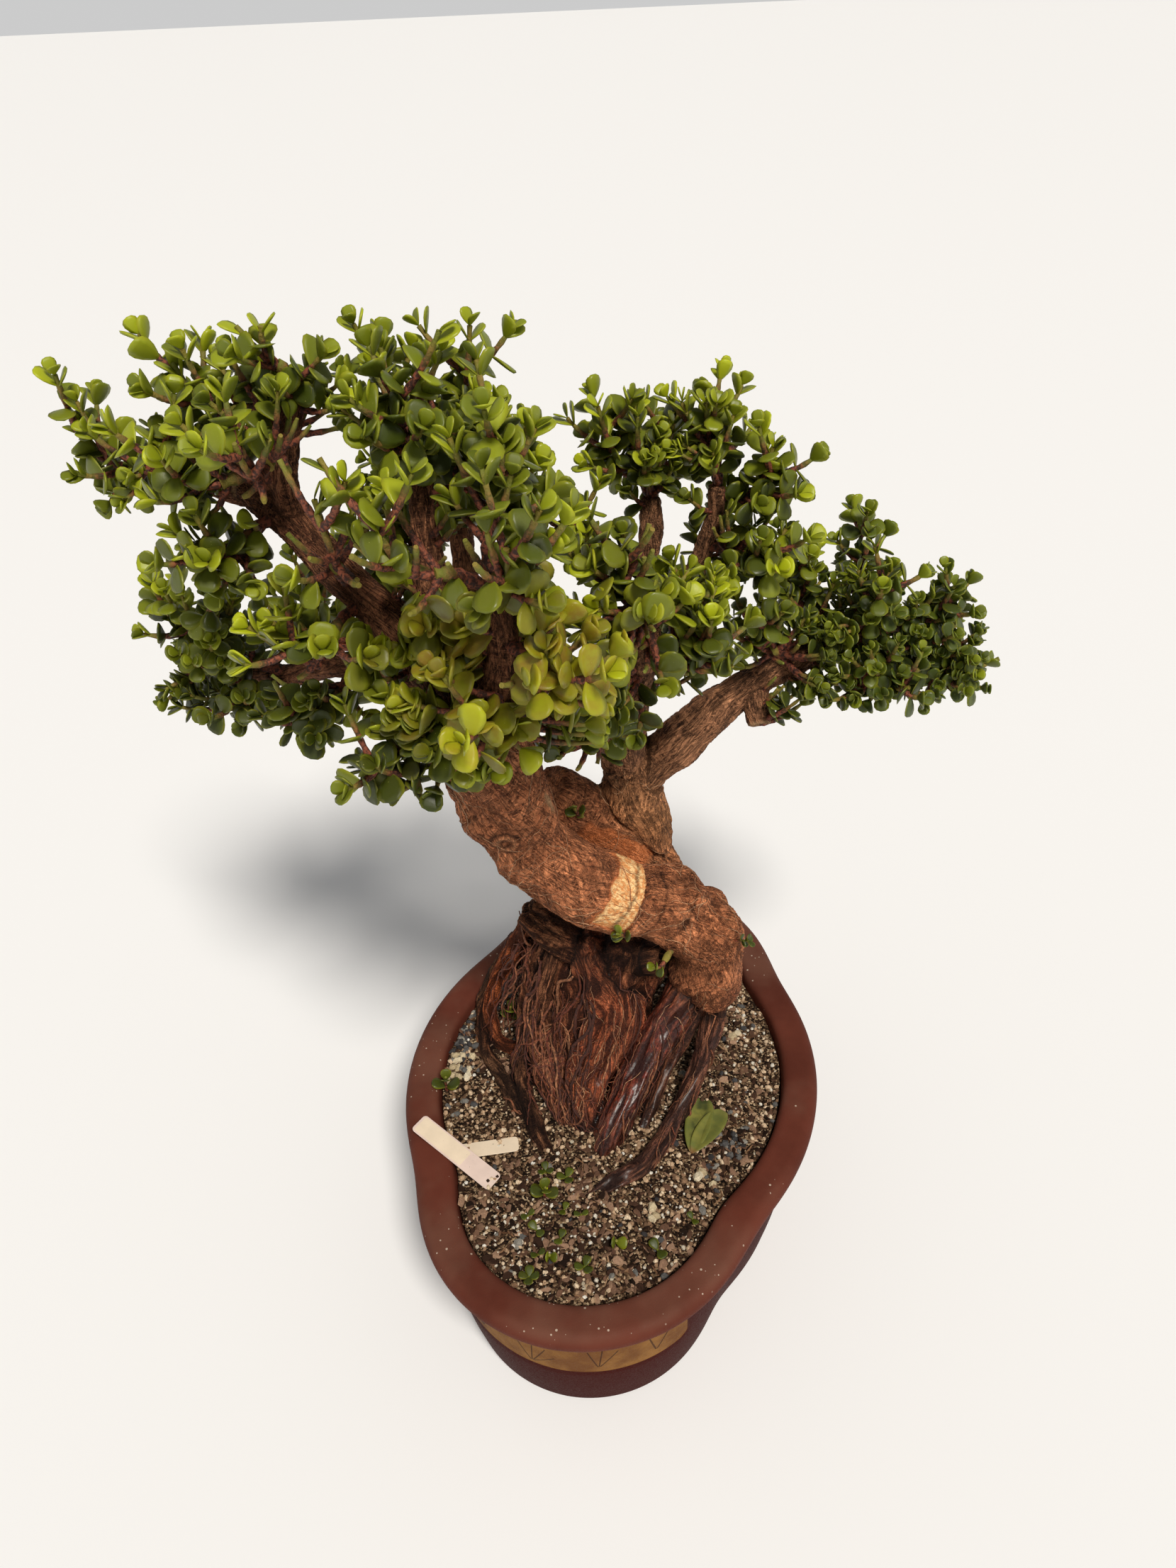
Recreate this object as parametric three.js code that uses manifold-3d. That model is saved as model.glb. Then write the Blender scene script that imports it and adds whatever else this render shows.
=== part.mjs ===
// A dwarf jade grown as a bonsai in a four-lobed, unglazed clay pot.
// Millimetres, +Z up. The origin is the centre of the pot's flat underside, the pot's
// long axis runs along Y, and the tree's front faces -Y.
import * as THREE from 'three';
import { mergeVertices } from 'three/addons/utils/BufferGeometryUtils.js';
import Module from 'manifold-3d';

const wasm = await Module();
wasm.setup();

const gap = 0.3; // clearance between pieces that touch
const tidyFaces = 0.1; // faces that stand out less than this are merged
const up = new THREE.Vector3(0, 0, 1);

// Driving dimensions of the pot. Two round end lobes and two flatter side lobes meet in
// four soft notches.
const pot = {
  length: 457,
  width: 330,
  height: 135,
  endRadius: 121.7,
  sideRadius: 203,
  notchSharpness: 22,
  footInset: 30,
  bellyInset: 15,
  lipWidth: 27,
  lipDepth: 16,
  wall: 11,
  floor: 11,
  segments: 40,
};
const drain = { radius: 9, offset: 105, channelWidth: 22, channelDepth: 4 };
const screen = { side: 34, thickness: 1.4, slot: 9, slots: 2 };
const panel = { halfWidth: 82, low: 60, high: 108, corner: 18, depth: 0.8 };
const soil = { edge: 125.5, crown: 4, grit: 1.1, rings: 5 };

// Real sizes of the small things on the soil, and the shape of a leaf as shares of its length.
const label = { thickness: 0.8, corner: 3 };
const longLabel = { length: 77, width: 16, from: [-135, -86, 142.1], to: [-65, -119, 126.8] };
const shortLabel = { length: 46, width: 13, from: [-101, -97, 127.2], to: [-56, -82, 127.9] };
const leafShape = { halfWidth: 0.42, thickness: 0.16, shoulder: 0.5, sunk: 0.2 };

// Two long fallen leaves, as [turn in radians, length], with the place of their joined stalk.
const fallen = { stalk: [74, -70], rise: 2.4, slim: 0.52, leaves: [[1.42, 54], [1.08, 50]] };

// The mass of fine roots in the pot, as half sizes, a turn and a centre.
const rootMass = { half: [78, 96, 34], turn: 0.2, centre: [-16, 12, 84] };

// The wood, as [x, y, z, radius] stations from thick to thin.
const rootRuns = {
  heartRoot: [[12, 34, 236, 30], [-8, 34, 196, 36], [-16, 26, 152, 40], [-18, 16, 100, 44]],
  shoulder: [[-68, 32, 266, 12], [-48, 30, 251, 16], [-26, 28, 242, 17], [6, 24, 240, 17],
    [38, 26, 242, 18]],
  bulb: [[-14, 26, 241, 20], [-2, 18, 212, 22], [5, 4, 192, 20], [-4, -14, 170, 17],
    [-12, -34, 150, 15], [-8, -58, 120, 10]],
  mound: [[-50, 34, 244, 13], [-57, 42, 206, 18], [-58, 36, 168, 23], [-52, 16, 140, 26],
    [-40, -14, 126, 24], [-24, -42, 121, 17], [-10, -64, 116, 10]],
  thickLeg: [[60, 28, 206, 16], [44, 8, 186, 13.5], [32, -12, 166, 13], [22, -34, 149, 13],
    [12, -58, 134, 13], [6, -78, 112, 11]],
  innerLeg: [[66, 30, 196, 11], [57, 16, 170, 8.5], [46, -6, 148, 7.5], [38, -32, 132, 6.5],
    [30, -62, 114, 6]],
  outerLeg: [[84, 36, 230, 11], [82, 24, 188, 8.5], [76, 2, 162, 7.5], [66, -22, 141, 7],
    [54, -52, 130, 7], [38, -87, 128, 6.5], [20, -103, 127, 6], [-6, -122, 118, 4.5]],
  frontRoot: [[-46, 26, 232, 8], [-58, 20, 192, 7.5], [-68, 6, 150, 7], [-71, -18, 131, 7],
    [-58, -48, 128, 6.5], [-42, -76, 127, 6], [-20, -96, 118, 4]],
  sideRoot: [[-66, 40, 244, 8], [-90, 60, 200, 7], [-110, 70, 156, 6.5], [-120, 44, 131, 6.5],
    [-106, 0, 128, 6], [-82, -28, 127, 6], [-64, -52, 127, 5.5], [-46, -78, 118, 4]],
  hookRoot: [[-66, 34, 252, 8], [-86, 46, 208, 7.5], [-104, 52, 166, 7], [-112, 40, 138, 7],
    [-102, 14, 130, 6.5], [-82, 6, 126, 6]],
  rearRoot: [[-44, 54, 204, 14], [-56, 84, 158, 11], [-66, 112, 132, 9], [-70, 142, 114, 6]],
  rearLeg: [[60, 46, 214, 15], [60, 74, 168, 11], [56, 104, 136, 9], [44, 134, 114, 6]],
};
const trunkRuns = {
  knee: [[74, 33, 198, 22], [72, 34, 222, 27], [69, 34, 253, 30], [44, 27, 286, 29],
    [9, 12, 311, 28.5], [-26, -4, 342, 31], [-49, -18, 381, 31], [-59, -30, 422, 30],
    [-60, -45, 462, 26], [-60, -54, 492, 20]],
  backTrunk: [[44, 56, 250, 22], [24, 64, 282, 24], [3, 64, 312, 26], [-25, 56, 346, 23],
    [-46, 40, 377, 17]],
  stem: [[15, 66, 290, 22], [14, 72, 329, 21], [8, 72, 362, 21], [5, 73, 392, 19]],
};
const limbRuns = {
  leftLimb: [[-60, -52, 484, 19], [-81, -52, 526, 15], [-112, -44, 555, 13],
    [-147, -30, 581, 12.5], [-174, -18, 603, 12.5], [-198, -10, 617, 10.5]],
  leftRiser: [[-168, -20, 598, 9], [-166, -26, 628, 7], [-156, -30, 655, 6], [-146, -34, 678, 5]],
  farLimb: [[-190, -12, 610, 8], [-224, -4, 614, 6.5], [-256, 8, 616, 5.5]],
  middleLimb: [[-62, -58, 504, 15], [-73, -64, 552, 11], [-76, -58, 588, 9], [-82, -40, 618, 7.5],
    [-86, -18, 642, 6]],
  frontLimb: [[-56, -58, 488, 14], [-34, -82, 541, 10], [-28, -90, 579, 8], [-32, -94, 606, 6]],
  lowLimb: [[-72, -54, 510, 12], [-119, -28, 510, 9], [-170, 0, 492, 8], [-223, 28, 466, 7],
    [-268, 48, 452, 5.5]],
  rearLimb: [[-60, -48, 474, 15], [-74, -8, 508, 12], [-88, 36, 536, 9.5], [-104, 78, 560, 7.5],
    [-118, 104, 572, 6]],
  rightLimb: [[12, 74, 370, 18], [44, 84, 399, 15.5], [73, 98, 426, 13.5], [99, 110, 441, 12],
    [125, 120, 454, 10], [153, 126, 470, 8], [184, 130, 478, 6.5]],
  cutLimb: [[92, 106, 436, 11], [96, 96, 424, 9], [99, 88, 414, 8.5]],
  backLimb: [[5, 74, 388, 15], [9, 86, 439, 11], [14, 98, 488, 9], [18, 108, 537, 7.5],
    [18, 116, 568, 6]],
  backFork: [[13, 94, 470, 8.5], [40, 104, 505, 7.5], [58, 108, 545, 7], [62, 110, 580, 6]],
  innerLimb: [[5, 66, 390, 14], [16, 32, 452, 10], [29, 4, 500, 8.5], [36, -14, 540, 6]],
};

// Leafy sprays of the crown: the limb each leaves, how far along it, and where it reaches.
const crown = [
  ['leftRiser', 1, [-152, -44, 712]],
  ['leftRiser', 0.75, [-214, -30, 690]],
  ['leftRiser', 0.3, [-216, -64, 658]],
  ['farLimb', 1, [-322, 20, 640]],
  ['leftLimb', 0.8, [-206, -78, 606]],
  ['leftRiser', 0.6, [-150, -98, 672]],
  ['middleLimb', 0.95, [-126, 42, 676]],
  ['middleLimb', 1, [-76, 44, 674]],
  ['middleLimb', 0.85, [-86, -44, 682]],
  ['leftLimb', 0.5, [-112, -104, 640]],
  ['frontLimb', 0.9, [-72, -126, 650]],
  ['leftLimb', 0.45, [-146, -100, 566]],
  ['lowLimb', 0.7, [-292, 10, 524]],
  ['lowLimb', 1, [-322, 64, 458]],
  ['lowLimb', 0.75, [-250, -6, 464]],
  ['lowLimb', 0.4, [-182, -50, 480]],
  ['frontLimb', 0.1, [-112, -104, 492]],
  ['rearLimb', 1, [-150, 138, 604]],
  ['rearLimb', 0.8, [-74, 118, 592]],
  ['rearLimb', 0.7, [-176, 78, 548]],
  ['lowLimb', 0.6, [-226, 92, 500]],
  ['frontLimb', 1, [-30, -70, 668]],
  ['middleLimb', 0.8, [-36, 10, 630]],
  ['frontLimb', 0.95, [-10, -132, 640]],
  ['frontLimb', 0.55, [14, -126, 576]],
  ['innerLimb', 1, [26, -34, 594]],
  ['frontLimb', 0.3, [-36, -118, 538]],
  ['innerLimb', 0.35, [-22, -6, 452]],
  ['innerLimb', 0.75, [68, 8, 520]],
  ['backLimb', 0.7, [-32, 76, 566]],
  ['backLimb', 1, [-14, 132, 612]],
  ['backLimb', 0.95, [20, 168, 604]],
  ['backFork', 1, [54, 134, 616]],
  ['backFork', 0.9, [98, 104, 594]],
  ['backFork', 0.6, [104, 78, 556]],
  ['backFork', 0.35, [52, 52, 532]],
  ['rightLimb', 0.95, [160, 182, 526]],
  ['rightLimb', 0.7, [118, 142, 514]],
  ['rightLimb', 0.6, [92, 84, 498]],
  ['rightLimb', 0.85, [176, 104, 520]],
  ['rightLimb', 1, [222, 138, 496]],
  ['rightLimb', 1, [262, 150, 444]],
  ['rightLimb', 0.85, [196, 82, 456]],
];
const crownSpray = { reach: 46, leaf: 17, pairs: 3, stemRadius: 2.6 };

// Short leafy shoots straight from the trunk.
const trunkShoots = [
  ['knee', 0.36, [13, -24, 304]],
  ['knee', 0.26, [37, -12, 262]],
  ['backTrunk', 0.62, [-24, 21, 379]],
];
const trunkShoot = { reach: 15, leaf: 10, pairs: 2, stemRadius: 1.9 };

// Cuttings and seedlings that stand in the soil: [x, y, height, leaf length, leaf pairs].
const soilPlants = {
  cutting_left: [-127, -43, 20, 13, 2],
  cutting_front: [-28, -122, 16, 12, 2],
  cutting_rear: [-94, 36, 20, 12, 2],
  seedling_front: [29, -150, 8, 11, 1],
  seedling_edge: [-15, -168, 8, 10, 1],
};
const plantStem = { radius: 1.6, depth: 8, holeRadius: 2.2 };

// First number of each random stream, and the step from one plant to the next.
const seeds = { crown: 101, shoots: 901, soil: 1301, step: 17 };

// A repeatable stream of numbers from 0 to 1.
function dice(seed) {
  let state = seed >>> 0;
  return () => {
    state = (Math.imul(state, 1664525) + 1013904223) >>> 0;
    return state / 4294967296;
  };
}

const vector = (point) => new THREE.Vector3(point[0], point[1], point[2]);

// A closed geometry becomes a solid, whichever way its faces were wound.
function solid(geometry) {
  const bare = geometry.index ? geometry.toNonIndexed() : geometry.clone();
  bare.deleteAttribute('normal');
  bare.deleteAttribute('uv');
  const merged = mergeVertices(bare, 1e-4);
  const faces = [];
  for (let i = 0; i < merged.index.count; i += 3) {
    const [a, b, c] = merged.index.array.slice(i, i + 3);
    if (a !== b && b !== c && c !== a) faces.push(a, b, c);
  }
  const build = (triangles) => new wasm.Manifold(new wasm.Mesh({
    numProp: 3,
    vertProperties: merged.attributes.position.array,
    triVerts: new Uint32Array(triangles),
  }));
  const made = build(faces);
  return made.volume() > 0 ? made : build(faces.reverse());
}

function union(solids) {
  return solids.reduce((whole, next) => whole.add(next));
}

// The largest body of a solid: loose scraps are dropped.
function mainBody(whole) {
  const bodies = whole.decompose();
  return bodies.reduce((best, body) => (body.volume() > best.volume() ? body : best));
}

function node(name, whole, material) {
  const mesh = mainBody(whole.simplify(tidyFaces)).getMesh();
  const geometry = new THREE.BufferGeometry();
  geometry.setAttribute('position', new THREE.BufferAttribute(new Float32Array(mesh.vertProperties), 3));
  geometry.setIndex(new THREE.BufferAttribute(new Uint32Array(mesh.triVerts), 1));
  const facets = geometry.toNonIndexed();
  facets.computeVertexNormals();
  const piece = new THREE.Mesh(facets, material);
  piece.name = name;
  return piece;
}

// Distance from the pot's centre to its outline, pushed in by an inset.
function lobeRadius(angle, inset) {
  const endCentre = pot.length / 2 - pot.endRadius;
  const sideCentre = pot.width / 2 - pot.sideRadius;
  const s = Math.abs(Math.sin(angle));
  const c = Math.abs(Math.cos(angle));
  const endRoot = (pot.endRadius - inset) ** 2 - (endCentre * c) ** 2;
  const sideRoot = (pot.sideRadius - inset) ** 2 - (sideCentre * s) ** 2;
  const end = endCentre * s + Math.sqrt(Math.max(0, endRoot));
  const side = sideCentre * c + Math.sqrt(sideRoot);
  const k = pot.notchSharpness;
  return (end ** k + side ** k) ** (1 / k);
}

const half = pot.width / 2;
const innerTop = half - pot.lipWidth;
const innerWall = half - pot.bellyInset - pot.wall - 3;
const innerFloor = half - pot.footInset - pot.wall;

// A profile of [half width, z] points round the pot's outline. Inside the wall the outline
// only scales, so that the faces of the wall and of the soil are flat and parallel.
function lobedGeometry(profile) {
  const points = profile.map(([halfWidth, z]) => new THREE.Vector2(Math.max(halfWidth, 0), z));
  const shape = new THREE.LatheGeometry(points, pot.segments).rotateX(Math.PI / 2);
  const place = shape.attributes.position;
  for (let i = 0; i < place.count; i += 1) {
    const halfWidth = Math.hypot(place.getX(i), place.getY(i));
    if (halfWidth < 1e-6) {
      place.setXY(i, 0, 0);
      continue;
    }
    const angle = Math.atan2(place.getY(i), place.getX(i));
    const outer = Math.max(halfWidth, innerWall);
    const radius = lobeRadius(angle, half - outer) * (halfWidth / outer);
    place.setXY(i, radius * Math.cos(angle), radius * Math.sin(angle));
  }
  return shape;
}

// Outside of the pot from the centre of its foot up to under the lip.
function bodyProfile(inset) {
  return [
    [0, 0], [half - pot.footInset - inset, 0], [half - pot.footInset + 4 - inset, 3],
    [half - 19 - inset, 40], [half - pot.bellyInset - inset, 84],
    [half - pot.bellyInset - inset, pot.height - pot.lipDepth],
  ];
}

function buildPot() {
  const lip = pot.height - pot.lipDepth;
  const outline = lobedGeometry([
    ...bodyProfile(0), [half - 3, lip], [half, lip + 4], [half, pot.height - 5],
    [half - 5, pot.height], [innerTop + 4, pot.height], [innerTop, pot.height - 3],
    [innerWall, soil.edge - 6], [innerFloor, pot.floor], [0, pot.floor],
  ]);
  let whole = solid(outline);
  for (const side of [-1, 1]) {
    const hole = new THREE.CylinderGeometry(drain.radius, drain.radius, 3 * pot.floor, 20);
    whole = whole.subtract(solid(hole.rotateX(Math.PI / 2).translate(0, side * drain.offset, pot.floor / 2)));
    const channel = new THREE.BoxGeometry(pot.width, drain.channelWidth, 2 * drain.channelDepth);
    whole = whole.subtract(solid(channel.translate(0, side * drain.offset, 0)));
    whole = whole.subtract(panelRecess(side));
  }
  return whole;
}

// A shallow field for a painted panel on an end lobe.
function panelRecess(side) {
  const outline = new THREE.Shape();
  const { halfWidth, low, high, corner } = panel;
  outline.moveTo(-halfWidth + corner, low);
  outline.lineTo(halfWidth - corner, low);
  outline.quadraticCurveTo(halfWidth, low, halfWidth, low + corner);
  outline.lineTo(halfWidth, high);
  outline.lineTo(-halfWidth, high);
  outline.lineTo(-halfWidth, low + corner);
  outline.quadraticCurveTo(-halfWidth, low, -halfWidth + corner, low);
  const field = new THREE.ExtrudeGeometry(outline, {
    depth: pot.length, bevelEnabled: false, curveSegments: 3,
  });
  const block = solid(field.rotateX(Math.PI / 2).translate(0, side > 0 ? pot.length + 60 : -60, 0));
  const core = solid(lobedGeometry([...bodyProfile(panel.depth), [0, pot.height - pot.lipDepth]]));
  return block.subtract(core);
}

// Height of the soil: higher round the roots, with grit raised by short waves.
function soilHeight(x, y) {
  const mound = soil.crown * Math.exp(-((x + 20) ** 2 / 9000 + (y - 20) ** 2 / 16000));
  const lumps = Math.sin(0.21 * x + 1.3) * Math.sin(0.17 * y) + 0.7 * Math.sin(0.083 * x - 0.11 * y);
  return soil.edge + mound + soil.grit * lumps;
}

function soilBlock() {
  const wallTop = innerWall - gap;
  const floorHalf = innerFloor - gap;
  const marker = 1000;
  const profile = [[0, pot.floor + gap], [floorHalf, pot.floor + gap], [wallTop, soil.edge - 6]];
  profile.push([wallTop, marker]);
  for (let ring = soil.rings - 1; ring >= 0; ring -= 1) profile.push([(wallTop * ring) / soil.rings, marker]);
  const shape = lobedGeometry(profile);
  const place = shape.attributes.position;
  for (let i = 0; i < place.count; i += 1) {
    if (place.getZ(i) > marker - 1) place.setZ(i, soilHeight(place.getX(i), place.getY(i)));
  }
  return solid(shape);
}

// Rings along a curve, each with its own section frame carried on from the last.
function ringFrames(curve, steps) {
  const frames = [];
  let side = new THREE.Vector3();
  for (let i = 0; i <= steps; i += 1) {
    const tangent = curve.getTangent(i / steps).normalize();
    if (i === 0) side.crossVectors(tangent, new THREE.Vector3(0.48, 0.8, 0.36));
    side = side.clone().addScaledVector(tangent, -side.dot(tangent)).normalize();
    frames.push({ point: curve.getPoint(i / steps), tangent, side, back: side.clone().cross(tangent) });
  }
  return frames;
}

// A round bar bent along a curve. The two ends are pushed out by `longer`.
function bar(curve, radiusAt, sides, steps, longer = 0) {
  const shape = new THREE.CylinderGeometry(1, 1, 1, sides, steps);
  const frames = ringFrames(curve, steps);
  const place = shape.attributes.position;
  for (let i = 0; i < place.count; i += 1) {
    const ring = Math.round((place.getY(i) + 0.5) * steps);
    const { point, tangent, side, back } = frames[ring];
    const radius = radiusAt(ring / steps);
    const push = ring === 0 ? -longer : ring === steps ? longer : 0;
    const moved = point.clone().addScaledVector(tangent, push);
    moved.addScaledVector(side, place.getX(i) * radius).addScaledVector(back, place.getZ(i) * radius);
    place.setXYZ(i, moved.x, moved.y, moved.z);
  }
  return solid(shape);
}

function runCurve(stations) {
  return new THREE.CatmullRomCurve3(stations.map(vector), false, 'catmullrom', 0.5);
}

// Radius along a run of stations, by straight steps between them.
function runRadius(stations, t) {
  const place = t * (stations.length - 1);
  const low = Math.min(Math.floor(place), stations.length - 2);
  return stations[low][3] + (stations[low + 1][3] - stations[low][3]) * (place - low);
}

const allRuns = { ...rootRuns, ...trunkRuns, ...limbRuns };
const runCurves = Object.fromEntries(Object.entries(allRuns).map(([name, run]) => [name, runCurve(run)]));

// One bar for each run. `extra` thickens them all, for the holes that they stand in.
function barsOf(runs, extra = 0) {
  return Object.entries(runs).map(([name, run]) => {
    const thickest = Math.max(...run.map((station) => station[3]));
    const sides = thickest > 20 ? 8 : thickest > 14 ? 6 : 5;
    return bar(runCurves[name], (t) => runRadius(run, t) + extra, sides, run.length, extra);
  });
}

function rootBall(extra) {
  const ball = new THREE.SphereGeometry(1, 10, 5).scale(...rootMass.half.map((size) => size + extra));
  return solid(ball.rotateZ(rootMass.turn).translate(...rootMass.centre));
}

// Everything already placed, as spheres with the name of the piece that they belong to.
const taken = [];

function take(owner, point, radius) {
  taken.push({ owner, x: point.x, y: point.y, z: point.z, radius });
}

function isFree(owner, spheres) {
  return spheres.every((ball) => taken.every((other) => {
    if (other.owner === owner) return true;
    const reach = ball.radius + other.radius + 2 * gap;
    const dx = ball.x - other.x;
    const dy = ball.y - other.y;
    const dz = ball.z - other.z;
    return dx * dx + dy * dy + dz * dz > reach * reach;
  }));
}

function takeRun(owner, curve, radiusAt, count) {
  for (let i = 0; i <= count; i += 1) take(owner, curve.getPoint(i / count), radiusAt(i / count));
}

for (const [name, run] of Object.entries(allRuns)) {
  takeRun('wood', runCurves[name], (t) => runRadius(run, t) + 0.5, 6 * run.length);
}

// The branch from a limb to where its spray begins, at most `longest` short of the tip.
function branchTo(run, along, tip, longest) {
  const curve = runCurves[run];
  const start = curve.getPoint(along);
  const aim = tip.clone().sub(start);
  const reach = Math.min(longest, 0.62 * (aim.length() - runRadius(allRuns[run], along)));
  const lift = aim.clone().normalize().addScaledVector(up, 0.35).normalize();
  const end = tip.clone().addScaledVector(lift, -reach);
  const bend = start.clone().addScaledVector(curve.getTangent(along), 0.22 * aim.length());
  bend.lerp(end, 0.45);
  return new THREE.QuadraticBezierCurve3(start, bend, end);
}

// Spheres that enclose a leaf, for the test of what is free.
function leafSpheres(leaf) {
  return [[0.32, 0.25], [0.6, 0.38], [0.82, 0.27]].map(([along, size]) => {
    const centre = leaf.root.clone().addScaledVector(leaf.direction, along * leaf.length);
    return { x: centre.x, y: centre.y, z: centre.z, radius: size * leaf.length };
  });
}

// A thick blade, widest past its middle: a flattened ball with a broad tip.
function leafSolid(leaf) {
  const blade = new THREE.SphereGeometry(1, 5, 2);
  const across = new THREE.Vector3().crossVectors(leaf.direction, leaf.face).normalize();
  const place = blade.attributes.position;
  for (let i = 0; i < place.count; i += 1) {
    const along = (place.getX(i) + 1) / 2;
    const taper = 1 - leafShape.shoulder * (1 - along);
    const spread = place.getZ(i) * leafShape.halfWidth * taper * leaf.slim;
    const depth = place.getY(i) * leafShape.thickness / 2 * leaf.slim;
    const point = leaf.root.clone().addScaledVector(leaf.direction, along * leaf.length);
    point.addScaledVector(across, spread * leaf.length).addScaledVector(leaf.face, depth * leaf.length);
    place.setXYZ(i, point.x, point.y, point.z);
  }
  return solid(blade);
}

// A leaf that leaves a stem at `turn` round it and leans towards its tip.
function leafAt(frame, turn, lean, length) {
  const out = frame.side.clone().multiplyScalar(Math.cos(turn)).addScaledVector(frame.back, Math.sin(turn));
  const direction = out.clone().multiplyScalar(Math.sin(lean)).addScaledVector(frame.tangent, Math.cos(lean));
  const face = frame.tangent.clone().multiplyScalar(Math.sin(lean)).addScaledVector(out, -Math.cos(lean));
  const root = frame.point.clone().addScaledVector(direction, -leafShape.sunk);
  return { root, direction, face, length, slim: 1 };
}

// Opposite pairs of leaves up a stem, each pair turned a quarter from the last. A leaf that
// would meet another piece is bent round the stem, or left off.
function leavesUp(owner, curve, roll, plan) {
  const leaves = [];
  const rings = ringFrames(curve, plan.pairs);
  const frames = rings.slice(1).map((ring, i) => {
    const middle = ring.point.clone().lerp(rings[i].point, 0.5);
    return { ...ring, point: middle };
  });
  for (let pair = 1; pair <= plan.pairs; pair += 1) {
    const last = pair === plan.pairs;
    const base = (pair + 0.5) * Math.PI / 2 + (roll() - 0.5) * 0.4;
    for (const opposite of [0, Math.PI]) {
      const lean = (last ? 0.55 : 1.0) + (roll() - 0.5) * 0.3;
      const length = plan.leaf * (last ? 0.86 : 1) * (0.88 + 0.24 * roll());
      for (const bend of [0, 0.6, -0.6]) {
        const leaf = leafAt(frames[pair - 1], base + opposite + bend, lean, length);
        const spheres = leafSpheres(leaf);
        if (isFree(owner, spheres)) {
          leaves.push(leaf);
          break;
        }
      }
    }
  }
  return leaves;
}

// A leafy stem, with its leaves claimed as space that later pieces keep clear of.
function spray(owner, start, heading, tip, seed, plan) {
  const knee = start.clone().addScaledVector(heading, 0.5 * start.distanceTo(tip));
  const stem = new THREE.QuadraticBezierCurve3(start, knee, tip);
  const leaves = leavesUp(owner, stem, dice(seed), plan);
  takeRun(owner, stem, () => plan.stemRadius + 0.4, 8);
  for (const leaf of leaves) for (const ball of leafSpheres(leaf)) take(owner, ball, ball.radius);
  return { stem, leaves, plan };
}

function spraySolid({ stem, leaves, plan }) {
  const thickness = (t) => plan.stemRadius * (1 - 0.3 * t);
  return union([bar(stem, thickness, 4, plan.pairs), ...leaves.map(leafSolid)]);
}

// Branches are grown first, so that every spray is laid clear of all of them.
function plant(list, plan) {
  return list.map(([run, along, reachTo]) => {
    const tip = vector(reachTo);
    const branch = branchTo(run, along, tip, plan.reach);
    const thick = Math.min(runRadius(allRuns[run], along) * 0.8, plan.stemRadius + branch.getLength() * 0.022);
    const radiusAt = (t) => thick + (plan.stemRadius * 1.15 - thick) * t;
    takeRun('wood', branch, (t) => radiusAt(t) + 0.4, 16);
    return { tip, branch, radiusAt, plan };
  });
}

const crownPlants = plant(crown, crownSpray);
const shootPlants = plant(trunkShoots, trunkShoot);

function growSpray(name, seed, { tip, branch, plan }) {
  const heading = branch.getTangent(1).normalize();
  const start = branch.getPoint(1).addScaledVector(heading, gap);
  return spray(name, start, heading, tip, seed, plan);
}

const clay = new THREE.MeshStandardMaterial({ color: 0x5c3a30, roughness: 0.75 });
const grit = new THREE.MeshStandardMaterial({ color: 0x8c7a62, roughness: 0.95 });
const bark = new THREE.MeshStandardMaterial({ color: 0x7a5f48, roughness: 0.9 });
const leafGreen = new THREE.MeshStandardMaterial({ color: 0x6f8f2f, roughness: 0.35 });
const screenBlack = new THREE.MeshStandardMaterial({ color: 0x22231f, roughness: 0.6 });
const labelWhite = new THREE.MeshStandardMaterial({ color: 0xe6dccb, roughness: 0.5 });

const bonsai = new THREE.Group();

// Leafy stems of the crown and the trunk.
crownPlants.forEach((seat, index) => {
  const name = `spray_${String(index + 1).padStart(2, '0')}`;
  bonsai.add(node(name, spraySolid(growSpray(name, seeds.crown + seeds.step * index, seat)), leafGreen));
});
shootPlants.forEach((seat, index) => {
  const name = `trunk_shoot_${index + 1}`;
  bonsai.add(node(name, spraySolid(growSpray(name, seeds.shoots + seeds.step * index, seat)), leafGreen));
});

// The wood, with the branches that carry the sprays.
const branches = [...crownPlants, ...shootPlants].map(({ branch, radiusAt }) => bar(branch, radiusAt, 4, 2));
const wood = union([
  ...barsOf(allRuns), rootBall(0), ...branches,
]);
bonsai.add(node('wood', wood, bark));

// Soil with holes for the roots, the small plants and the screens.
let fill = soilBlock().subtract(union([...barsOf(rootRuns, gap + 0.1), rootBall(gap + 0.1)]));
Object.entries(soilPlants).forEach(([name, [x, y, height, leaf, pairs]], index) => {
  const level = soilHeight(x, y);
  const start = new THREE.Vector3(x, y, level + 1);
  const tip = new THREE.Vector3(x + 2, y - 2, level + height);
  const { radius, depth, holeRadius } = plantStem;
  const plan = { leaf, pairs, stemRadius: radius };
  const foot = new THREE.CylinderGeometry(radius, radius, depth + 2, 4);
  const hole = new THREE.CylinderGeometry(holeRadius, holeRadius, 2 * (depth + gap), 8);
  const grown = spray(name, start, up, tip, seeds.soil + seeds.step * index, plan);
  const rooted = solid(foot.rotateX(Math.PI / 2).translate(x, y, level + 1 - depth / 2));
  bonsai.add(node(name, spraySolid(grown).add(rooted), leafGreen));
  fill = fill.subtract(solid(hole.rotateX(Math.PI / 2).translate(x, y, level)));
});
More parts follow.
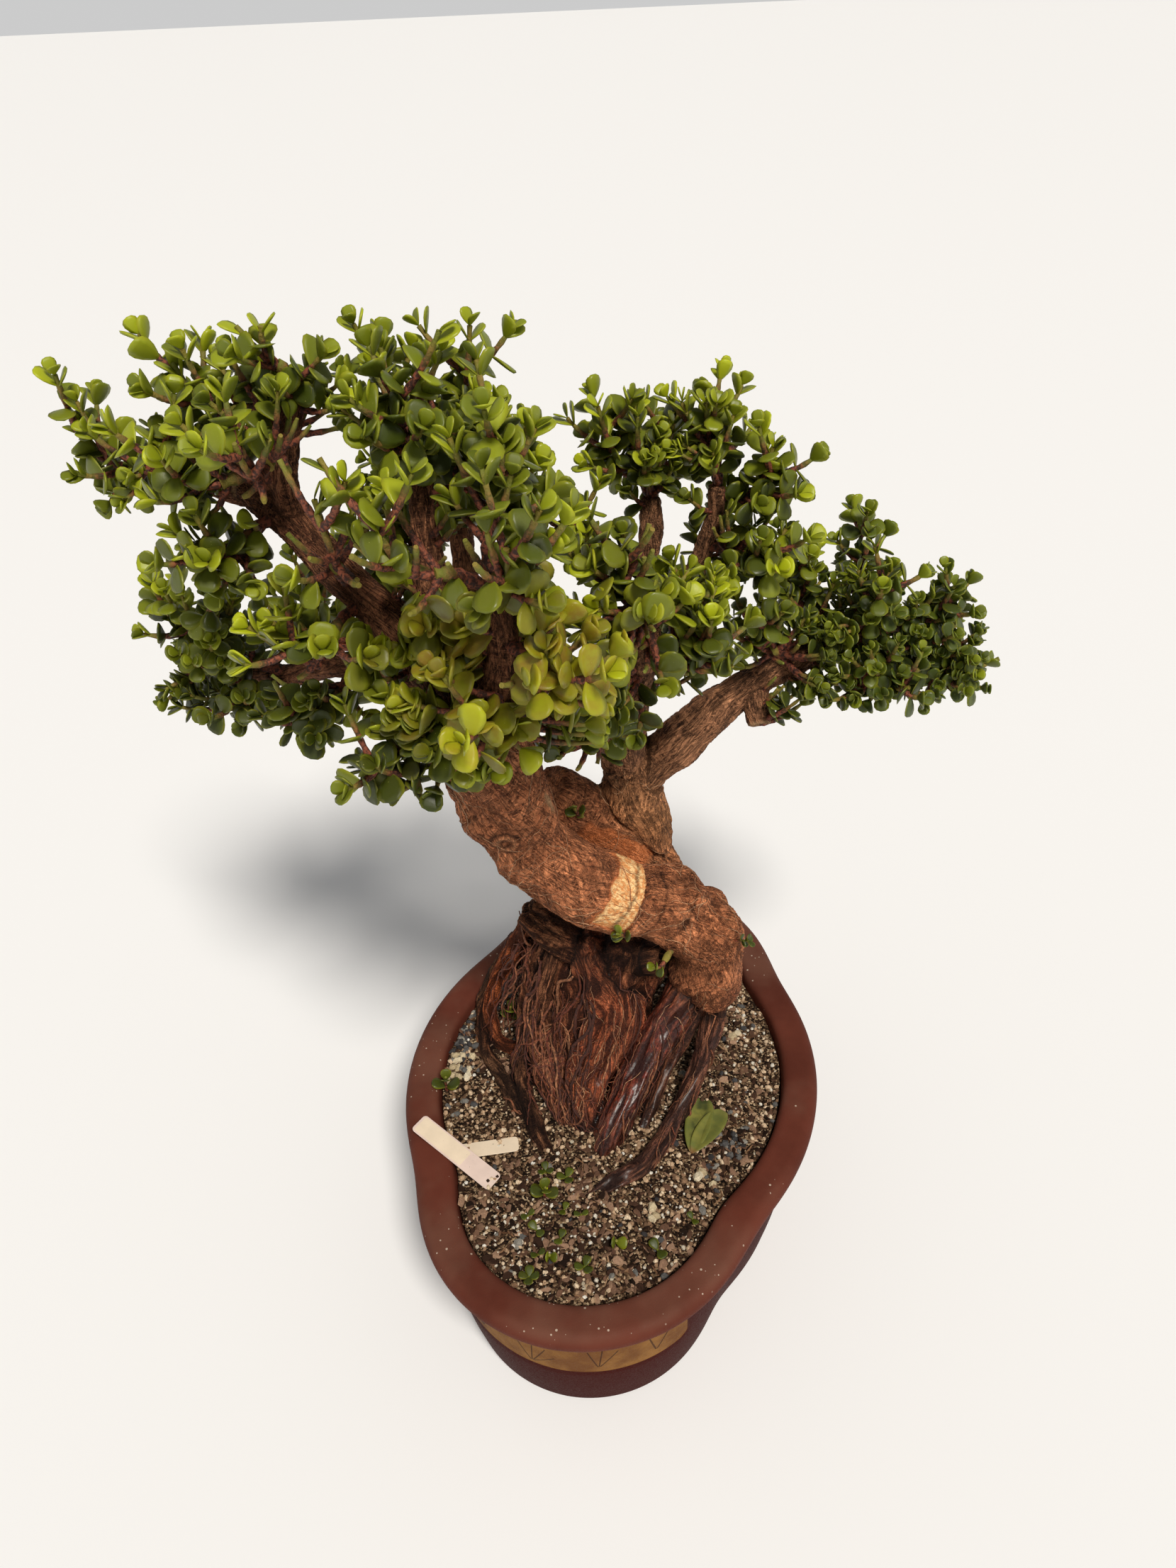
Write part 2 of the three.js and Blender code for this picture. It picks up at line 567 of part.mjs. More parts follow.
for (const [name, side] of [['drain_mesh_front', -1], ['drain_mesh_back', 1]]) {
  const base = pot.floor + gap;
  const plate = new THREE.BoxGeometry(screen.side, screen.side, screen.thickness);
  let mesh = solid(plate.translate(0, side * drain.offset, base + screen.thickness / 2));
  const pitch = screen.side / (screen.slots + 1);
  for (let i = 0; i < screen.slots ** 2; i += 1) {
    const column = (i % screen.slots) - (screen.slots - 1) / 2;
    const row = Math.floor(i / screen.slots) - (screen.slots - 1) / 2;
    const slot = new THREE.BoxGeometry(screen.slot, screen.slot, 4 * screen.thickness);
    mesh = mesh.subtract(solid(slot.translate(column * pitch, side * drain.offset + row * pitch, base)));
  }
  bonsai.add(node(name, mesh, screenBlack));
  const room = screen.side + 2 * gap;
  const recess = new THREE.BoxGeometry(room, room, 2 * (screen.thickness + gap));
  fill = fill.subtract(solid(recess.translate(0, side * drain.offset, base)));
}
bonsai.add(node('soil', fill, grit));
bonsai.add(node('pot', buildPot(), clay));

// Two blank plant labels: a long strip from the lip down to the soil, a short one under it.
function strip({ length, width, from, to }) {
  const outline = new THREE.Shape();
  const r = label.corner;
  outline.moveTo(r, 0);
  outline.lineTo(length - r, 0);
  outline.quadraticCurveTo(length, 0, length, r);
  outline.lineTo(length, width - r);
  outline.quadraticCurveTo(length, width, length - r, width);
  outline.lineTo(r, width);
  outline.quadraticCurveTo(0, width, 0, width - r);
  outline.lineTo(0, r);
  outline.quadraticCurveTo(0, 0, r, 0);
  const sheet = new THREE.ExtrudeGeometry(outline, {
    depth: label.thickness, bevelEnabled: false, curveSegments: 2,
  });
  sheet.translate(0, -width / 2, 0);
  const along = vector(to).sub(vector(from)).normalize();
  const across = new THREE.Vector3().crossVectors(up, along).normalize();
  const normal = new THREE.Vector3().crossVectors(along, across);
  return solid(sheet.applyMatrix4(new THREE.Matrix4().makeBasis(along, across, normal).setPosition(...from)));
}
bonsai.add(node('label_long', strip(longLabel), labelWhite));
bonsai.add(node('label_short', strip(shortLabel), labelWhite));

// The fallen leaves lie side by side, flat on the soil.
function fallenPair() {
  const [x, y] = fallen.stalk;
  const leaves = fallen.leaves.map(([turn, length]) => ({
    root: new THREE.Vector3(x, y, soilHeight(x, y) + fallen.rise),
    direction: new THREE.Vector3(Math.cos(turn), Math.sin(turn), 0),
    face: up.clone(),
    length,
    slim: fallen.slim,
  }));
  return union(leaves.map(leafSolid));
}
bonsai.add(node('fallen_leaves', fallenPair(), leafGreen));

export default bonsai;
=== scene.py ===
import math

import bpy
import numpy as np
from mathutils import Matrix, Vector, noise
from mathutils.bvhtree import BVHTree


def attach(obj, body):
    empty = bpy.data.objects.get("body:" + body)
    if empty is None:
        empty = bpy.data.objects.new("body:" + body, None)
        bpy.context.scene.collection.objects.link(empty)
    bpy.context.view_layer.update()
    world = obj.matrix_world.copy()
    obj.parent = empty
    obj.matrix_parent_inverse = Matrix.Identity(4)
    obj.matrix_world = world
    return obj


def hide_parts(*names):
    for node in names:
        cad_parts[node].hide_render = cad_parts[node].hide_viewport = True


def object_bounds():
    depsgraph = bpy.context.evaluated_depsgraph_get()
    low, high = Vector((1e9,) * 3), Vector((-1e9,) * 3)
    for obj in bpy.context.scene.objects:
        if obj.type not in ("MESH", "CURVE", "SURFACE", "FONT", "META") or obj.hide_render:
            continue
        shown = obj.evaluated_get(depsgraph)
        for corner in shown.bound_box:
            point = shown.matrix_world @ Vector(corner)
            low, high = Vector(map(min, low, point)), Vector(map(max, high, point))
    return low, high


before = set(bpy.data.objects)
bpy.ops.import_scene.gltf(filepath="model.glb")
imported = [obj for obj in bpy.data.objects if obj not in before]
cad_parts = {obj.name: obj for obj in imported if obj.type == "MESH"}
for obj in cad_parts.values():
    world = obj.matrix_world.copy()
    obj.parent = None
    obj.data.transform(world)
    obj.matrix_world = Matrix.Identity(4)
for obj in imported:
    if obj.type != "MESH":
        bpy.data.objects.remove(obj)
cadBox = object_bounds()
mm = 0.001
upward = Vector((0, 0, 1))
viewer = Vector((121.2, -569.9, 840.8))   # where the photograph was taken from


# Small helpers for meshes and objects.

def dice(seed):  # a repeatable stream of numbers from 0 to 1
    state = [seed]

    def roll():
        state[0] = (state[0] * 1664525 + 1013904223) & 0xFFFFFFFF
        return state[0] / 4294967296
    return roll


def addAttributes(mesh, attributes):  # a number or a vector for each point
    for label, values in attributes.items():
        values = np.asarray(values, np.float32)
        kind, field = ("FLOAT", "value") if values.ndim == 1 else ("FLOAT_VECTOR", "vector")
        mesh.attributes.new(label, kind, "POINT").data.foreach_set(field, values.ravel())


def makeObject(name, points, edges=(), faces=(), attributes=None):  # points in millimetres
    mesh = bpy.data.meshes.new(name)
    mesh.from_pydata((np.asarray(points, float) * mm).tolist(), list(edges), list(faces))
    addAttributes(mesh, attributes or {})
    obj = bpy.data.objects.new(name, mesh)
    bpy.context.scene.collection.objects.link(obj)
    return obj


def pointsOf(mesh):  # in millimetres
    co = np.zeros(len(mesh.vertices) * 3, np.float32)
    mesh.vertices.foreach_get("co", co)
    return co.reshape(-1, 3).astype(float) / mm


def setPoints(mesh, points):
    mesh.vertices.foreach_set("co", (points * mm).astype(np.float32).ravel())
    mesh.update()


def faceOutward(mesh):  # turns an inside-out closed mesh round
    mesh.calc_loop_triangles()
    corners = np.zeros(len(mesh.loop_triangles) * 3, np.int32)
    mesh.loop_triangles.foreach_get("vertices", corners)
    a, b, c = pointsOf(mesh)[corners.reshape(-1, 3)].transpose(1, 0, 2)
    if np.einsum("ij,ij->i", a, np.cross(b, c)).sum() < 0:
        mesh.flip_normals()


def shadeSmooth(mesh):
    mesh.polygons.foreach_set("use_smooth", [True] * len(mesh.polygons))


def makeRound(name, points, faces, attributes=None):  # a smooth closed piece that faces outward
    obj = makeObject(name, points, faces=faces, attributes=attributes)
    faceOutward(obj.data)
    shadeSmooth(obj.data)
    return obj


def applyModifiers(obj):  # leaves the plain mesh that the modifiers give
    graph = bpy.context.evaluated_depsgraph_get()
    made = bpy.data.meshes.new_from_object(
        obj.evaluated_get(graph), preserve_all_data_layers=True, depsgraph=graph)
    obj.modifiers.clear()
    obj.data = made
    return obj


def finishPiece(obj, material, nodes=()):
    if material:
        obj.data.materials.clear()
        obj.data.materials.append(material)
    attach(obj, "root")
    if nodes:
        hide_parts(*nodes)
    return obj


def loft(rings, start=None, end=None):  # closed rings of points, with a pole at each end
    rings = np.asarray(rings, float)
    count, sides = rings.shape[:2]
    points = rings.reshape(-1, 3).tolist()
    faces = []
    for ring in range(count - 1):
        for side in range(sides):
            low, high = ring * sides, (ring + 1) * sides
            after = (side + 1) % sides
            faces.append((low + side, low + after, high + after, high + side))
    for pole, first in ((start, 0), (end, (count - 1) * sides)):
        if pole is None:
            continue
        points.append(list(pole))
        for side in range(sides):
            edge = (first + side, first + (side + 1) % sides)
            faces.append((len(points) - 1, *(edge if pole is end else edge[::-1])))
    return points, faces


# Small helpers for node trees.

def setInputs(node, inputs):  # links the sockets and sets the plain values
    for key, value in inputs.items():
        if isinstance(value, bpy.types.NodeSocket):
            node.id_data.links.new(value, node.inputs[key])
        else:
            node.inputs[key].default_value = value


def addNode(tree, kind, inputs=None, **settings):
    node = tree.nodes.new(kind)
    for name, value in settings.items():
        setattr(node, name, value)
    setInputs(node, inputs or {})
    return node


def treeOf(*values):  # the tree that the first socket among the values is in
    return next(value.id_data for value in values if isinstance(value, bpy.types.NodeSocket))


def compute(operation, *values):
    return addNode(treeOf(*values), "ShaderNodeMath", dict(enumerate(values)), operation=operation).outputs[0]


def times(a, b):
    return compute("MULTIPLY", a, b)


def plus(a, b):
    return compute("ADD", a, b)


def minus(a, b):
    return compute("SUBTRACT", a, b)


def largest(a, b):
    return compute("MAXIMUM", a, b)


def split(vector):
    return addNode(treeOf(vector), "ShaderNodeSeparateXYZ", {0: vector}).outputs


def scaled(vector, share):
    return addNode(treeOf(vector), "ShaderNodeVectorMath", {0: vector, "Scale": share},
                   operation="SCALE").outputs[0]


def spread(value, low, high, first=0.0, last=1.0):  # eases a value from one range to another
    return addNode(treeOf(value), "ShaderNodeMapRange", {0: value, 1: low, 2: high, 3: first, 4: last},
                   interpolation_type="SMOOTHSTEP").outputs[0]


def mixColour(factor, first, second):
    return addNode(treeOf(factor, first, second), "ShaderNodeMix", {0: factor, 6: first, 7: second},
                   data_type="RGBA").outputs[2]


def readAttribute(tree, name, output="Fac"):
    return addNode(tree, "ShaderNodeAttribute", attribute_name=name).outputs[output]


def objectPlace(tree):
    return addNode(tree, "ShaderNodeTexCoord").outputs["Object"]


def colour(*tone):  # red, green and blue on the usual scale to 255, as the shaders take them
    return tuple(((v / 255 + 0.055) / 1.055) ** 2.4 if v > 10 else v / 3295 for v in tone) + (1,)


def colourRamp(factor, stops):  # stops are (place, colour)
    ramp = addNode(treeOf(factor), "ShaderNodeValToRGB", {0: factor})
    elements = ramp.color_ramp.elements
    while len(elements) < len(stops):
        elements.new(0.5)
    for element, (place, tone) in zip(elements, stops):
        element.position = place
        element.color = tone
    return ramp.outputs[0]


def makeGroup(name, kind, inputs, outputs):  # returns the tree, its inputs and its output sockets
    tree = bpy.data.node_groups.new(name, kind)
    for label, (socketType, value) in inputs.items():
        socket = tree.interface.new_socket(name=label, in_out="INPUT", socket_type="NodeSocket" + socketType)
        if value is not None:
            socket.default_value = value
    for label, socketType in outputs.items():
        tree.interface.new_socket(name=label, in_out="OUTPUT", socket_type="NodeSocket" + socketType)
    return tree, tree.nodes.new("NodeGroupInput").outputs, tree.nodes.new("NodeGroupOutput").inputs


def placeGroup(group, **inputs):
    node = addNode(treeOf(*inputs.values()), "ShaderNodeGroup", node_tree=group)
    setInputs(node, inputs)
    return node.outputs[0]


def startMaterial(name, **settings):  # returns the material, its tree and its shader
    material = bpy.data.materials.new(name)
    material.use_nodes = True
    shader = material.node_tree.nodes["Principled BSDF"]
    connect(shader, **settings)
    return material, material.node_tree, shader


def connect(shader, **settings):
    setInputs(shader, {name.replace("_", " "): value for name, value in settings.items()})


def bump(height, strength, distance):
    return addNode(treeOf(height), "ShaderNodeBump", {
        "Strength": strength, "Distance": distance, "Height": height}).outputs[0]


# Shader groups that several finishes share.

def makeMottle():  # soft patches from 0 to 1
    tree, inputs, outputs = makeGroup("mottle", "ShaderNodeTree", {
        "Vector": ("Vector", None), "Scale": ("Float", 60.0), "Contrast": ("Float", 0.25)},
        {"Value": "Float"})
    patches = addNode(tree, "ShaderNodeTexNoise", {
        "Vector": inputs["Vector"], "Scale": inputs["Scale"], "Detail": 4.0, "Roughness": 0.6}).outputs[0]
    contrast = inputs["Contrast"]
    tree.links.new(spread(patches, minus(0.5, contrast), plus(0.5, contrast)), outputs["Value"])
    return tree


def makeFibres():  # thin strands that wind round a stem, from its grain coordinates
    tree, inputs, outputs = makeGroup("fibres", "ShaderNodeTree", {
        "Grain": ("Vector", None), "Twist": ("Float", 10.0), "Scale": ("Float", 400.0),
        "Stretch": ("Float", 0.15), "Across": ("Float", 1.0), "Width": ("Float", 0.05)}, {"Strand": "Float"})
    parts = split(inputs["Grain"])
    angle = times(parts[2], inputs["Twist"])
    turned = addNode(tree, "ShaderNodeVectorRotate", {"Vector": inputs["Grain"], "Angle": angle},
                     rotation_type="Z_AXIS").outputs[0]
    sized = split(turned)
    drawn = addNode(tree, "ShaderNodeCombineXYZ", {
        0: times(sized[0], inputs["Across"]),
        1: times(sized[1], inputs["Across"]),
        2: times(sized[2], inputs["Stretch"])}).outputs[0]
    strands = addNode(tree, "ShaderNodeTexNoise", {
        "Vector": drawn, "Scale": inputs["Scale"], "Detail": 2.0, "Roughness": 0.5,
        "Distortion": 0.8}).outputs[0]
    middle = compute("ABSOLUTE", minus(strands, 0.5))
    tree.links.new(spread(middle, 0.0, inputs["Width"], 1.0, 0.0), outputs["Strand"])
    return tree


def makeSpecks():  # small scattered dots, such as dust or grit
    tree, inputs, outputs = makeGroup("specks", "ShaderNodeTree", {
        "Vector": ("Vector", None), "Scale": ("Float", 400.0), "Size": ("Float", 0.2),
        "Share": ("Float", 0.3)}, {"Mask": "Float"})
    cells = addNode(tree, "ShaderNodeTexVoronoi", {"Vector": inputs["Vector"], "Scale": inputs["Scale"]})
    chance = split(cells.outputs["Color"])
    chosen = compute("LESS_THAN", chance[0], inputs["Share"])
    size = times(inputs["Size"], chance[1])
    dot = spread(cells.outputs["Distance"], times(size, 0.6), size, 1.0, 0.0)
    tree.links.new(times(dot, chosen), outputs["Mask"])
    return tree


mottle = makeMottle()
fibres = makeFibres()
specks = makeSpecks()


def mottled(place, scale, contrast):
    return placeGroup(mottle, Vector=place, Scale=scale, Contrast=contrast)


def speckled(place, scale, size, share):
    return placeGroup(specks, Vector=place, Scale=scale, Size=size, Share=share)


# The lines that the tree grows along, as [x, y, z, radius] from thick to thin.
rootRuns = {
    "heartRoot": [[12, 34, 236, 30], [-8, 34, 196, 36], [-16, 26, 152, 40], [-18, 16, 100, 44]],
    "shoulder": [[-68, 32, 266, 12], [-48, 30, 251, 16], [-26, 28, 242, 17], [6, 24, 240, 17],
                 [38, 26, 242, 18]],
    "bulb": [[-14, 26, 241, 20], [-2, 18, 212, 22], [5, 4, 192, 20], [-4, -14, 170, 17],
             [-12, -34, 150, 15], [-8, -58, 120, 10]],
    "mound": [[-50, 34, 244, 13], [-57, 42, 206, 18], [-58, 36, 168, 23], [-52, 16, 140, 26],
              [-40, -14, 126, 24], [-24, -42, 121, 17], [-10, -64, 116, 10]],
    "thickLeg": [[60, 28, 206, 16], [44, 8, 186, 13.5], [32, -12, 166, 13], [22, -34, 149, 13],
                 [12, -58, 134, 13], [6, -78, 112, 11]],
    "innerLeg": [[66, 30, 196, 11], [57, 16, 170, 8.5], [46, -6, 148, 7.5], [38, -32, 132, 6.5],
                 [30, -62, 114, 6]],
    "outerLeg": [[84, 36, 230, 11], [82, 24, 188, 8.5], [76, 2, 162, 7.5], [66, -22, 141, 7],
                 [54, -52, 130, 7], [38, -87, 128, 6.5], [20, -103, 127, 6], [-6, -122, 118, 4.5]],
    "frontRoot": [[-46, 26, 232, 8], [-58, 20, 192, 7.5], [-68, 6, 150, 7], [-71, -18, 131, 7],
                  [-58, -48, 128, 6.5], [-42, -76, 127, 6], [-20, -96, 118, 4]],
    "sideRoot": [[-66, 40, 244, 8], [-90, 60, 200, 7], [-110, 70, 156, 6.5], [-120, 44, 131, 6.5],
                 [-106, 0, 128, 6], [-82, -28, 127, 6], [-64, -52, 127, 5.5], [-46, -78, 118, 4]],
    "hookRoot": [[-66, 34, 252, 8], [-86, 46, 208, 7.5], [-104, 52, 166, 7], [-112, 40, 138, 7],
                 [-102, 14, 130, 6.5], [-82, 6, 126, 6]],
    "rearRoot": [[-44, 54, 204, 14], [-56, 84, 158, 11], [-66, 112, 132, 9], [-70, 142, 114, 6]],
    "rearLeg": [[60, 46, 214, 15], [60, 74, 168, 11], [56, 104, 136, 9], [44, 134, 114, 6]],
}
trunkRuns = {
    "knee": [[74, 33, 198, 22], [72, 34, 222, 27], [69, 34, 253, 30], [44, 27, 286, 29],
             [9, 12, 311, 28.5], [-26, -4, 342, 31], [-49, -18, 381, 31], [-59, -30, 422, 30],
             [-60, -45, 462, 26], [-60, -54, 492, 20]],
    "backTrunk": [[44, 56, 250, 22], [24, 64, 282, 24], [3, 64, 312, 26], [-25, 56, 346, 23],
                  [-46, 40, 377, 17]],
    "stem": [[15, 66, 290, 22], [14, 72, 329, 21], [8, 72, 362, 21], [5, 73, 392, 19]],
}
limbRuns = {
    "leftLimb": [[-60, -52, 484, 19], [-81, -52, 526, 15], [-112, -44, 555, 13],
                 [-147, -30, 581, 12.5], [-174, -18, 603, 12.5], [-198, -10, 617, 10.5]],
    "leftRiser": [[-168, -20, 598, 9], [-166, -26, 628, 7], [-156, -30, 655, 6], [-146, -34, 678, 5]],
    "farLimb": [[-190, -12, 610, 8], [-224, -4, 614, 6.5], [-256, 8, 616, 5.5]],
    "middleLimb": [[-62, -58, 504, 15], [-73, -64, 552, 11], [-76, -58, 588, 9], [-82, -40, 618, 7.5],
                   [-86, -18, 642, 6]],
    "frontLimb": [[-56, -58, 488, 14], [-34, -82, 541, 10], [-28, -90, 579, 8], [-32, -94, 606, 6]],
    "lowLimb": [[-72, -54, 510, 12], [-119, -28, 510, 9], [-170, 0, 492, 8], [-223, 28, 466, 7],
                [-268, 48, 452, 5.5]],
    "rearLimb": [[-60, -48, 474, 15], [-74, -8, 508, 12], [-88, 36, 536, 9.5], [-104, 78, 560, 7.5],
                 [-118, 104, 572, 6]],
    "rightLimb": [[12, 74, 370, 18], [44, 84, 399, 15.5], [73, 98, 426, 13.5], [99, 110, 441, 12],
                  [125, 120, 454, 10], [153, 126, 470, 8], [184, 130, 478, 6.5]],
    "cutLimb": [[92, 106, 436, 11], [96, 96, 424, 9], [99, 88, 414, 8.5]],
    "backLimb": [[5, 74, 388, 15], [9, 86, 439, 11], [14, 98, 488, 9], [18, 108, 537, 7.5],
                 [18, 116, 568, 6]],
    "backFork": [[13, 94, 470, 8.5], [40, 104, 505, 7.5], [58, 108, 545, 7], [62, 110, 580, 6]],
    "innerLimb": [[5, 66, 390, 14], [16, 32, 452, 10], [29, 4, 500, 8.5], [36, -14, 540, 6]],
}
allRuns = {**rootRuns, **trunkRuns, **limbRuns}

# Leafy sprays of the crown: the limb each leaves, how far along it, and where it reaches.
crown = [
    ["leftRiser", 1, [-152, -44, 712]], ["leftRiser", 0.75, [-214, -30, 690]],
    ["leftRiser", 0.3, [-216, -64, 658]], ["farLimb", 1, [-322, 20, 640]],
    ["leftLimb", 0.8, [-206, -78, 606]], ["leftRiser", 0.6, [-150, -98, 672]],
    ["middleLimb", 0.95, [-126, 42, 676]], ["middleLimb", 1, [-76, 44, 674]],
    ["middleLimb", 0.85, [-86, -44, 682]], ["leftLimb", 0.5, [-112, -104, 640]],
    ["frontLimb", 0.9, [-72, -126, 650]], ["leftLimb", 0.45, [-146, -100, 566]],
    ["lowLimb", 0.7, [-292, 10, 524]], ["lowLimb", 1, [-322, 64, 458]],
    ["lowLimb", 0.75, [-250, -6, 464]], ["lowLimb", 0.4, [-182, -50, 480]],
    ["frontLimb", 0.1, [-112, -104, 492]], ["rearLimb", 1, [-150, 138, 604]],
    ["rearLimb", 0.8, [-74, 118, 592]], ["rearLimb", 0.7, [-176, 78, 548]],
    ["lowLimb", 0.6, [-226, 92, 500]], ["frontLimb", 1, [-30, -70, 668]],
    ["middleLimb", 0.8, [-36, 10, 630]], ["frontLimb", 0.95, [-10, -132, 640]],
    ["frontLimb", 0.55, [14, -126, 576]], ["innerLimb", 1, [26, -34, 594]],
    ["frontLimb", 0.3, [-36, -118, 538]], ["innerLimb", 0.35, [-22, -6, 452]],
    ["innerLimb", 0.75, [68, 8, 520]], ["backLimb", 0.7, [-32, 76, 566]],
    ["backLimb", 1, [-14, 132, 612]], ["backLimb", 0.95, [20, 168, 604]],
    ["backFork", 1, [54, 134, 616]], ["backFork", 0.9, [98, 104, 594]],
    ["backFork", 0.6, [104, 78, 556]], ["backFork", 0.35, [52, 52, 532]],
    ["rightLimb", 0.95, [160, 182, 526]], ["rightLimb", 0.7, [118, 142, 514]],
    ["rightLimb", 0.6, [92, 84, 498]], ["rightLimb", 0.85, [176, 104, 520]],
    ["rightLimb", 1, [222, 138, 496]], ["rightLimb", 1, [262, 150, 444]],
    ["rightLimb", 0.85, [196, 82, 456]],
]
crownSpray = {"reach": 46, "leaf": 17, "pairs": 3, "stemRadius": 2.6}
trunkShoots = [["knee", 0.36, [13, -24, 304]], ["knee", 0.26, [37, -12, 262]],
               ["backTrunk", 0.62, [-24, 21, 379]]]
trunkShoot = {"reach": 15, "leaf": 10, "pairs": 2, "stemRadius": 1.9}
seeds = {"crown": 101, "shoots": 901, "soil": 1301, "step": 17, "sprayLeaves": 7001, "fillLeaves": 7501,
         "branches": 6007, "looseRoots": 4401, "rootTones": 4301, "fibreTones": 4901, "seedlings": 3301,
         "seedlingLeaves": 3401, "yellowLeaf": 3501, "sprig": 3601}
clearance = 0.3


# Lines as functions from 0 to 1, and what is measured on them.

def throughStations(stations):  # an even Catmull-Rom line, as the solids have
    place = [Vector(s[:3]) for s in stations]
    before, after = 2 * place[0] - place[1], 2 * place[-1] - place[-2]
    place = [before, *place, after]

    def point(t):
        whole = t * (len(stations) - 1)
        step = min(int(whole), len(stations) - 2)
        u = whole - step
        a, b, c, d = place[step:step + 4]
        first, last = 0.5 * (c - a), 0.5 * (d - b)
        square, cube = 3 * (c - b) - 2 * first - last, 2 * (b - c) + first + last
        return b + first * u + square * u * u + cube * u ** 3
    return point


def bowed(a, b, c):  # a line from a to c, drawn towards b
    return lambda t: a * (1 - t) ** 2 + b * (2 * t * (1 - t)) + c * t * t


def headingOf(line, t):
    low, high = max(t - 0.0001, 0), min(t + 0.0001, 1)
    return (line(high) - line(low)).normalized()


def lengthOf(line, chords=200):
    places = [line(i / chords) for i in range(chords + 1)]
    return sum((b - a).length for a, b in zip(places, places[1:]))


def ringFrames(line, steps):  # sections along a line, each turned as little as can be from the last
    frames = []
    side = None
    for i in range(steps + 1):
        tangent = headingOf(line, i / steps)
        if side is None:
            side = tangent.cross(Vector((0.48, 0.8, 0.36)))
        side = (side - tangent * side.dot(tangent)).normalized()
        frames.append({"point": line(i / steps), "tangent": tangent, "side": side.copy(),
                       "back": side.cross(tangent)})
    return frames


def radiusAlong(stations, t):
    place = t * (len(stations) - 1)
    low = min(int(place), len(stations) - 2)
    return stations[low][3] + (stations[low + 1][3] - stations[low][3]) * (place - low)


lines = {name: throughStations(run) for name, run in allRuns.items()}

# Wood: three skins that run into each other, so the creases between the trunks stay sharp.
woodPlan = {
    "sampleStep": 4,  # spacing of the sections along a run
    "sides": 26,
    "blend": 5,  # distance over which one run's tone goes over into the next
    "lumps": [[30, 1.5], [11, 0.6]],  # size and height
    "ridges": [[6, 0.13, 1.0], [3.2, 0.11, 0.5]],  # spacing, stretch and height along the grain
    "flutes": 0.13,  # depth of the folds along a root, as a share of its radius
    "foldLength": 22,  # how far along a root its folds wind
    "rings": [7.5, 0.5],  # spacing and height of the creases round the trunk
    "hollowShade": 6,  # reach of the painted shade in the hollows between roots
    "darkNearSoil": [128, 150],  # heights between which the wood dries
    "bareRelief": 0.2,  # heights over which the wood's darkening towards the soil fades out
    "depth": 0.6,  # share of the light that the old bark keeps
}
# Skins of the wood: face size, passes of smoothing, share of the ridges and their twist, runs, added balls,
# and places that swell or sink, as x, y, z, reach and height.
skins = {
    "trunk": {"face": 1.8, "smoothing": 3, "ridge": 0.85, "twist": 0.03,
              "runs": ["knee", "leftLimb", "leftRiser", "farLimb", "middleLimb", "frontLimb", "lowLimb",
                       "rearLimb"],
              "burls": [[66, 35, 266, 31], [47, 29, 287, 30], [74, 33, 204, 21], [-60, -47, 474, 25]],
              "swells": [[2, 18, 345, 32, -7], [-30, 10, 385, 26, -4]]},
    "back_trunk": {"face": 1.7, "smoothing": 3, "ridge": 0.85, "twist": -0.03,
                   "runs": ["backTrunk", "stem", "rightLimb", "cutLimb", "backLimb", "backFork",
                            "innerLimb"],
                   "burls": [[8, 72, 384, 22]], "swells": [[-4, 34, 345, 42, 5]]},
    "roots": {"face": 1.5, "smoothing": 2, "ridge": 1.5, "twist": 0, "runs": list(rootRuns),
              "burls": [[74, 34, 206, 20], [72, 34, 224, 24]], "swells": [[-14, 0, 215, 30, 4]]},
}
# The bark's own tone on each run, how many folds run along it, and its gloss.
runTones = {
    "heartRoot": [(140, 62, 38), 5, 0.1], "shoulder": [(116, 68, 46), 3, 0], "bulb": [(200, 88, 50), 5, 0.3],
    "mound": [(118, 46, 26), 7, 0], "thickLeg": [(146, 50, 38), 3, 1], "innerLeg": [(104, 48, 32), 3, 0.4],
    "outerLeg": [(140, 80, 68), 3, 0.5], "frontRoot": [(116, 64, 46), 3, 0],
    "sideRoot": [(128, 90, 66), 3, 0], "hookRoot": [(236, 108, 50), 3, 0], "rearRoot": [(108, 62, 42), 4, 0],
    "rearLeg": [(104, 56, 38), 4, 0], "knee": [(216, 128, 84), 0, 0], "backTrunk": [(200, 120, 80), 0, 0],
    "stem": [(204, 138, 88), 0, 0],
}
limbTones = {"left": (134, 78, 56), "right": (164, 112, 82)}
# Marks on the bark: a band of bare wood, a strip of orange bark beside the crease, knots and holes as x, y, z
# and radius, scars as x, y, z, half width and half length, dark creases round the knee, and sawn ends.
barkMarks = {
    "band": {"run": "knee", "from": 156, "to": 180, "ragged": 7, "facing": (0.5, -0.65, 0.5)},
    "strip": {"run": "backTrunk", "from": 66, "to": 134, "gap": 13, "share": 0.48},
    "knots": [[-52.3, -51.9, 398.8, 6.5], [0.8, 56.3, 380.5, 5], [-78, -50, 440, 4], [30, 22, 262, 4]],
    "holes": [[58.5, 4.2, 294.5, 2.6]],
    "scars": [[-28, -32, 422, 3, 11]],
    "creases": [156, 163, 141, 120],
    "creaseWidth": 1.1,
    "cuts": ["leftLimb", "cutLimb"],
}
runNames = list(allRuns)


def toneOf(name):
    limb = limbTones["left" if allRuns[name][-1][0] < -20 else "right"]
    tone = runTones[name][0] if name in runTones else limb
    return woodPlan["depth"] * np.array(colour(*tone)[:3])


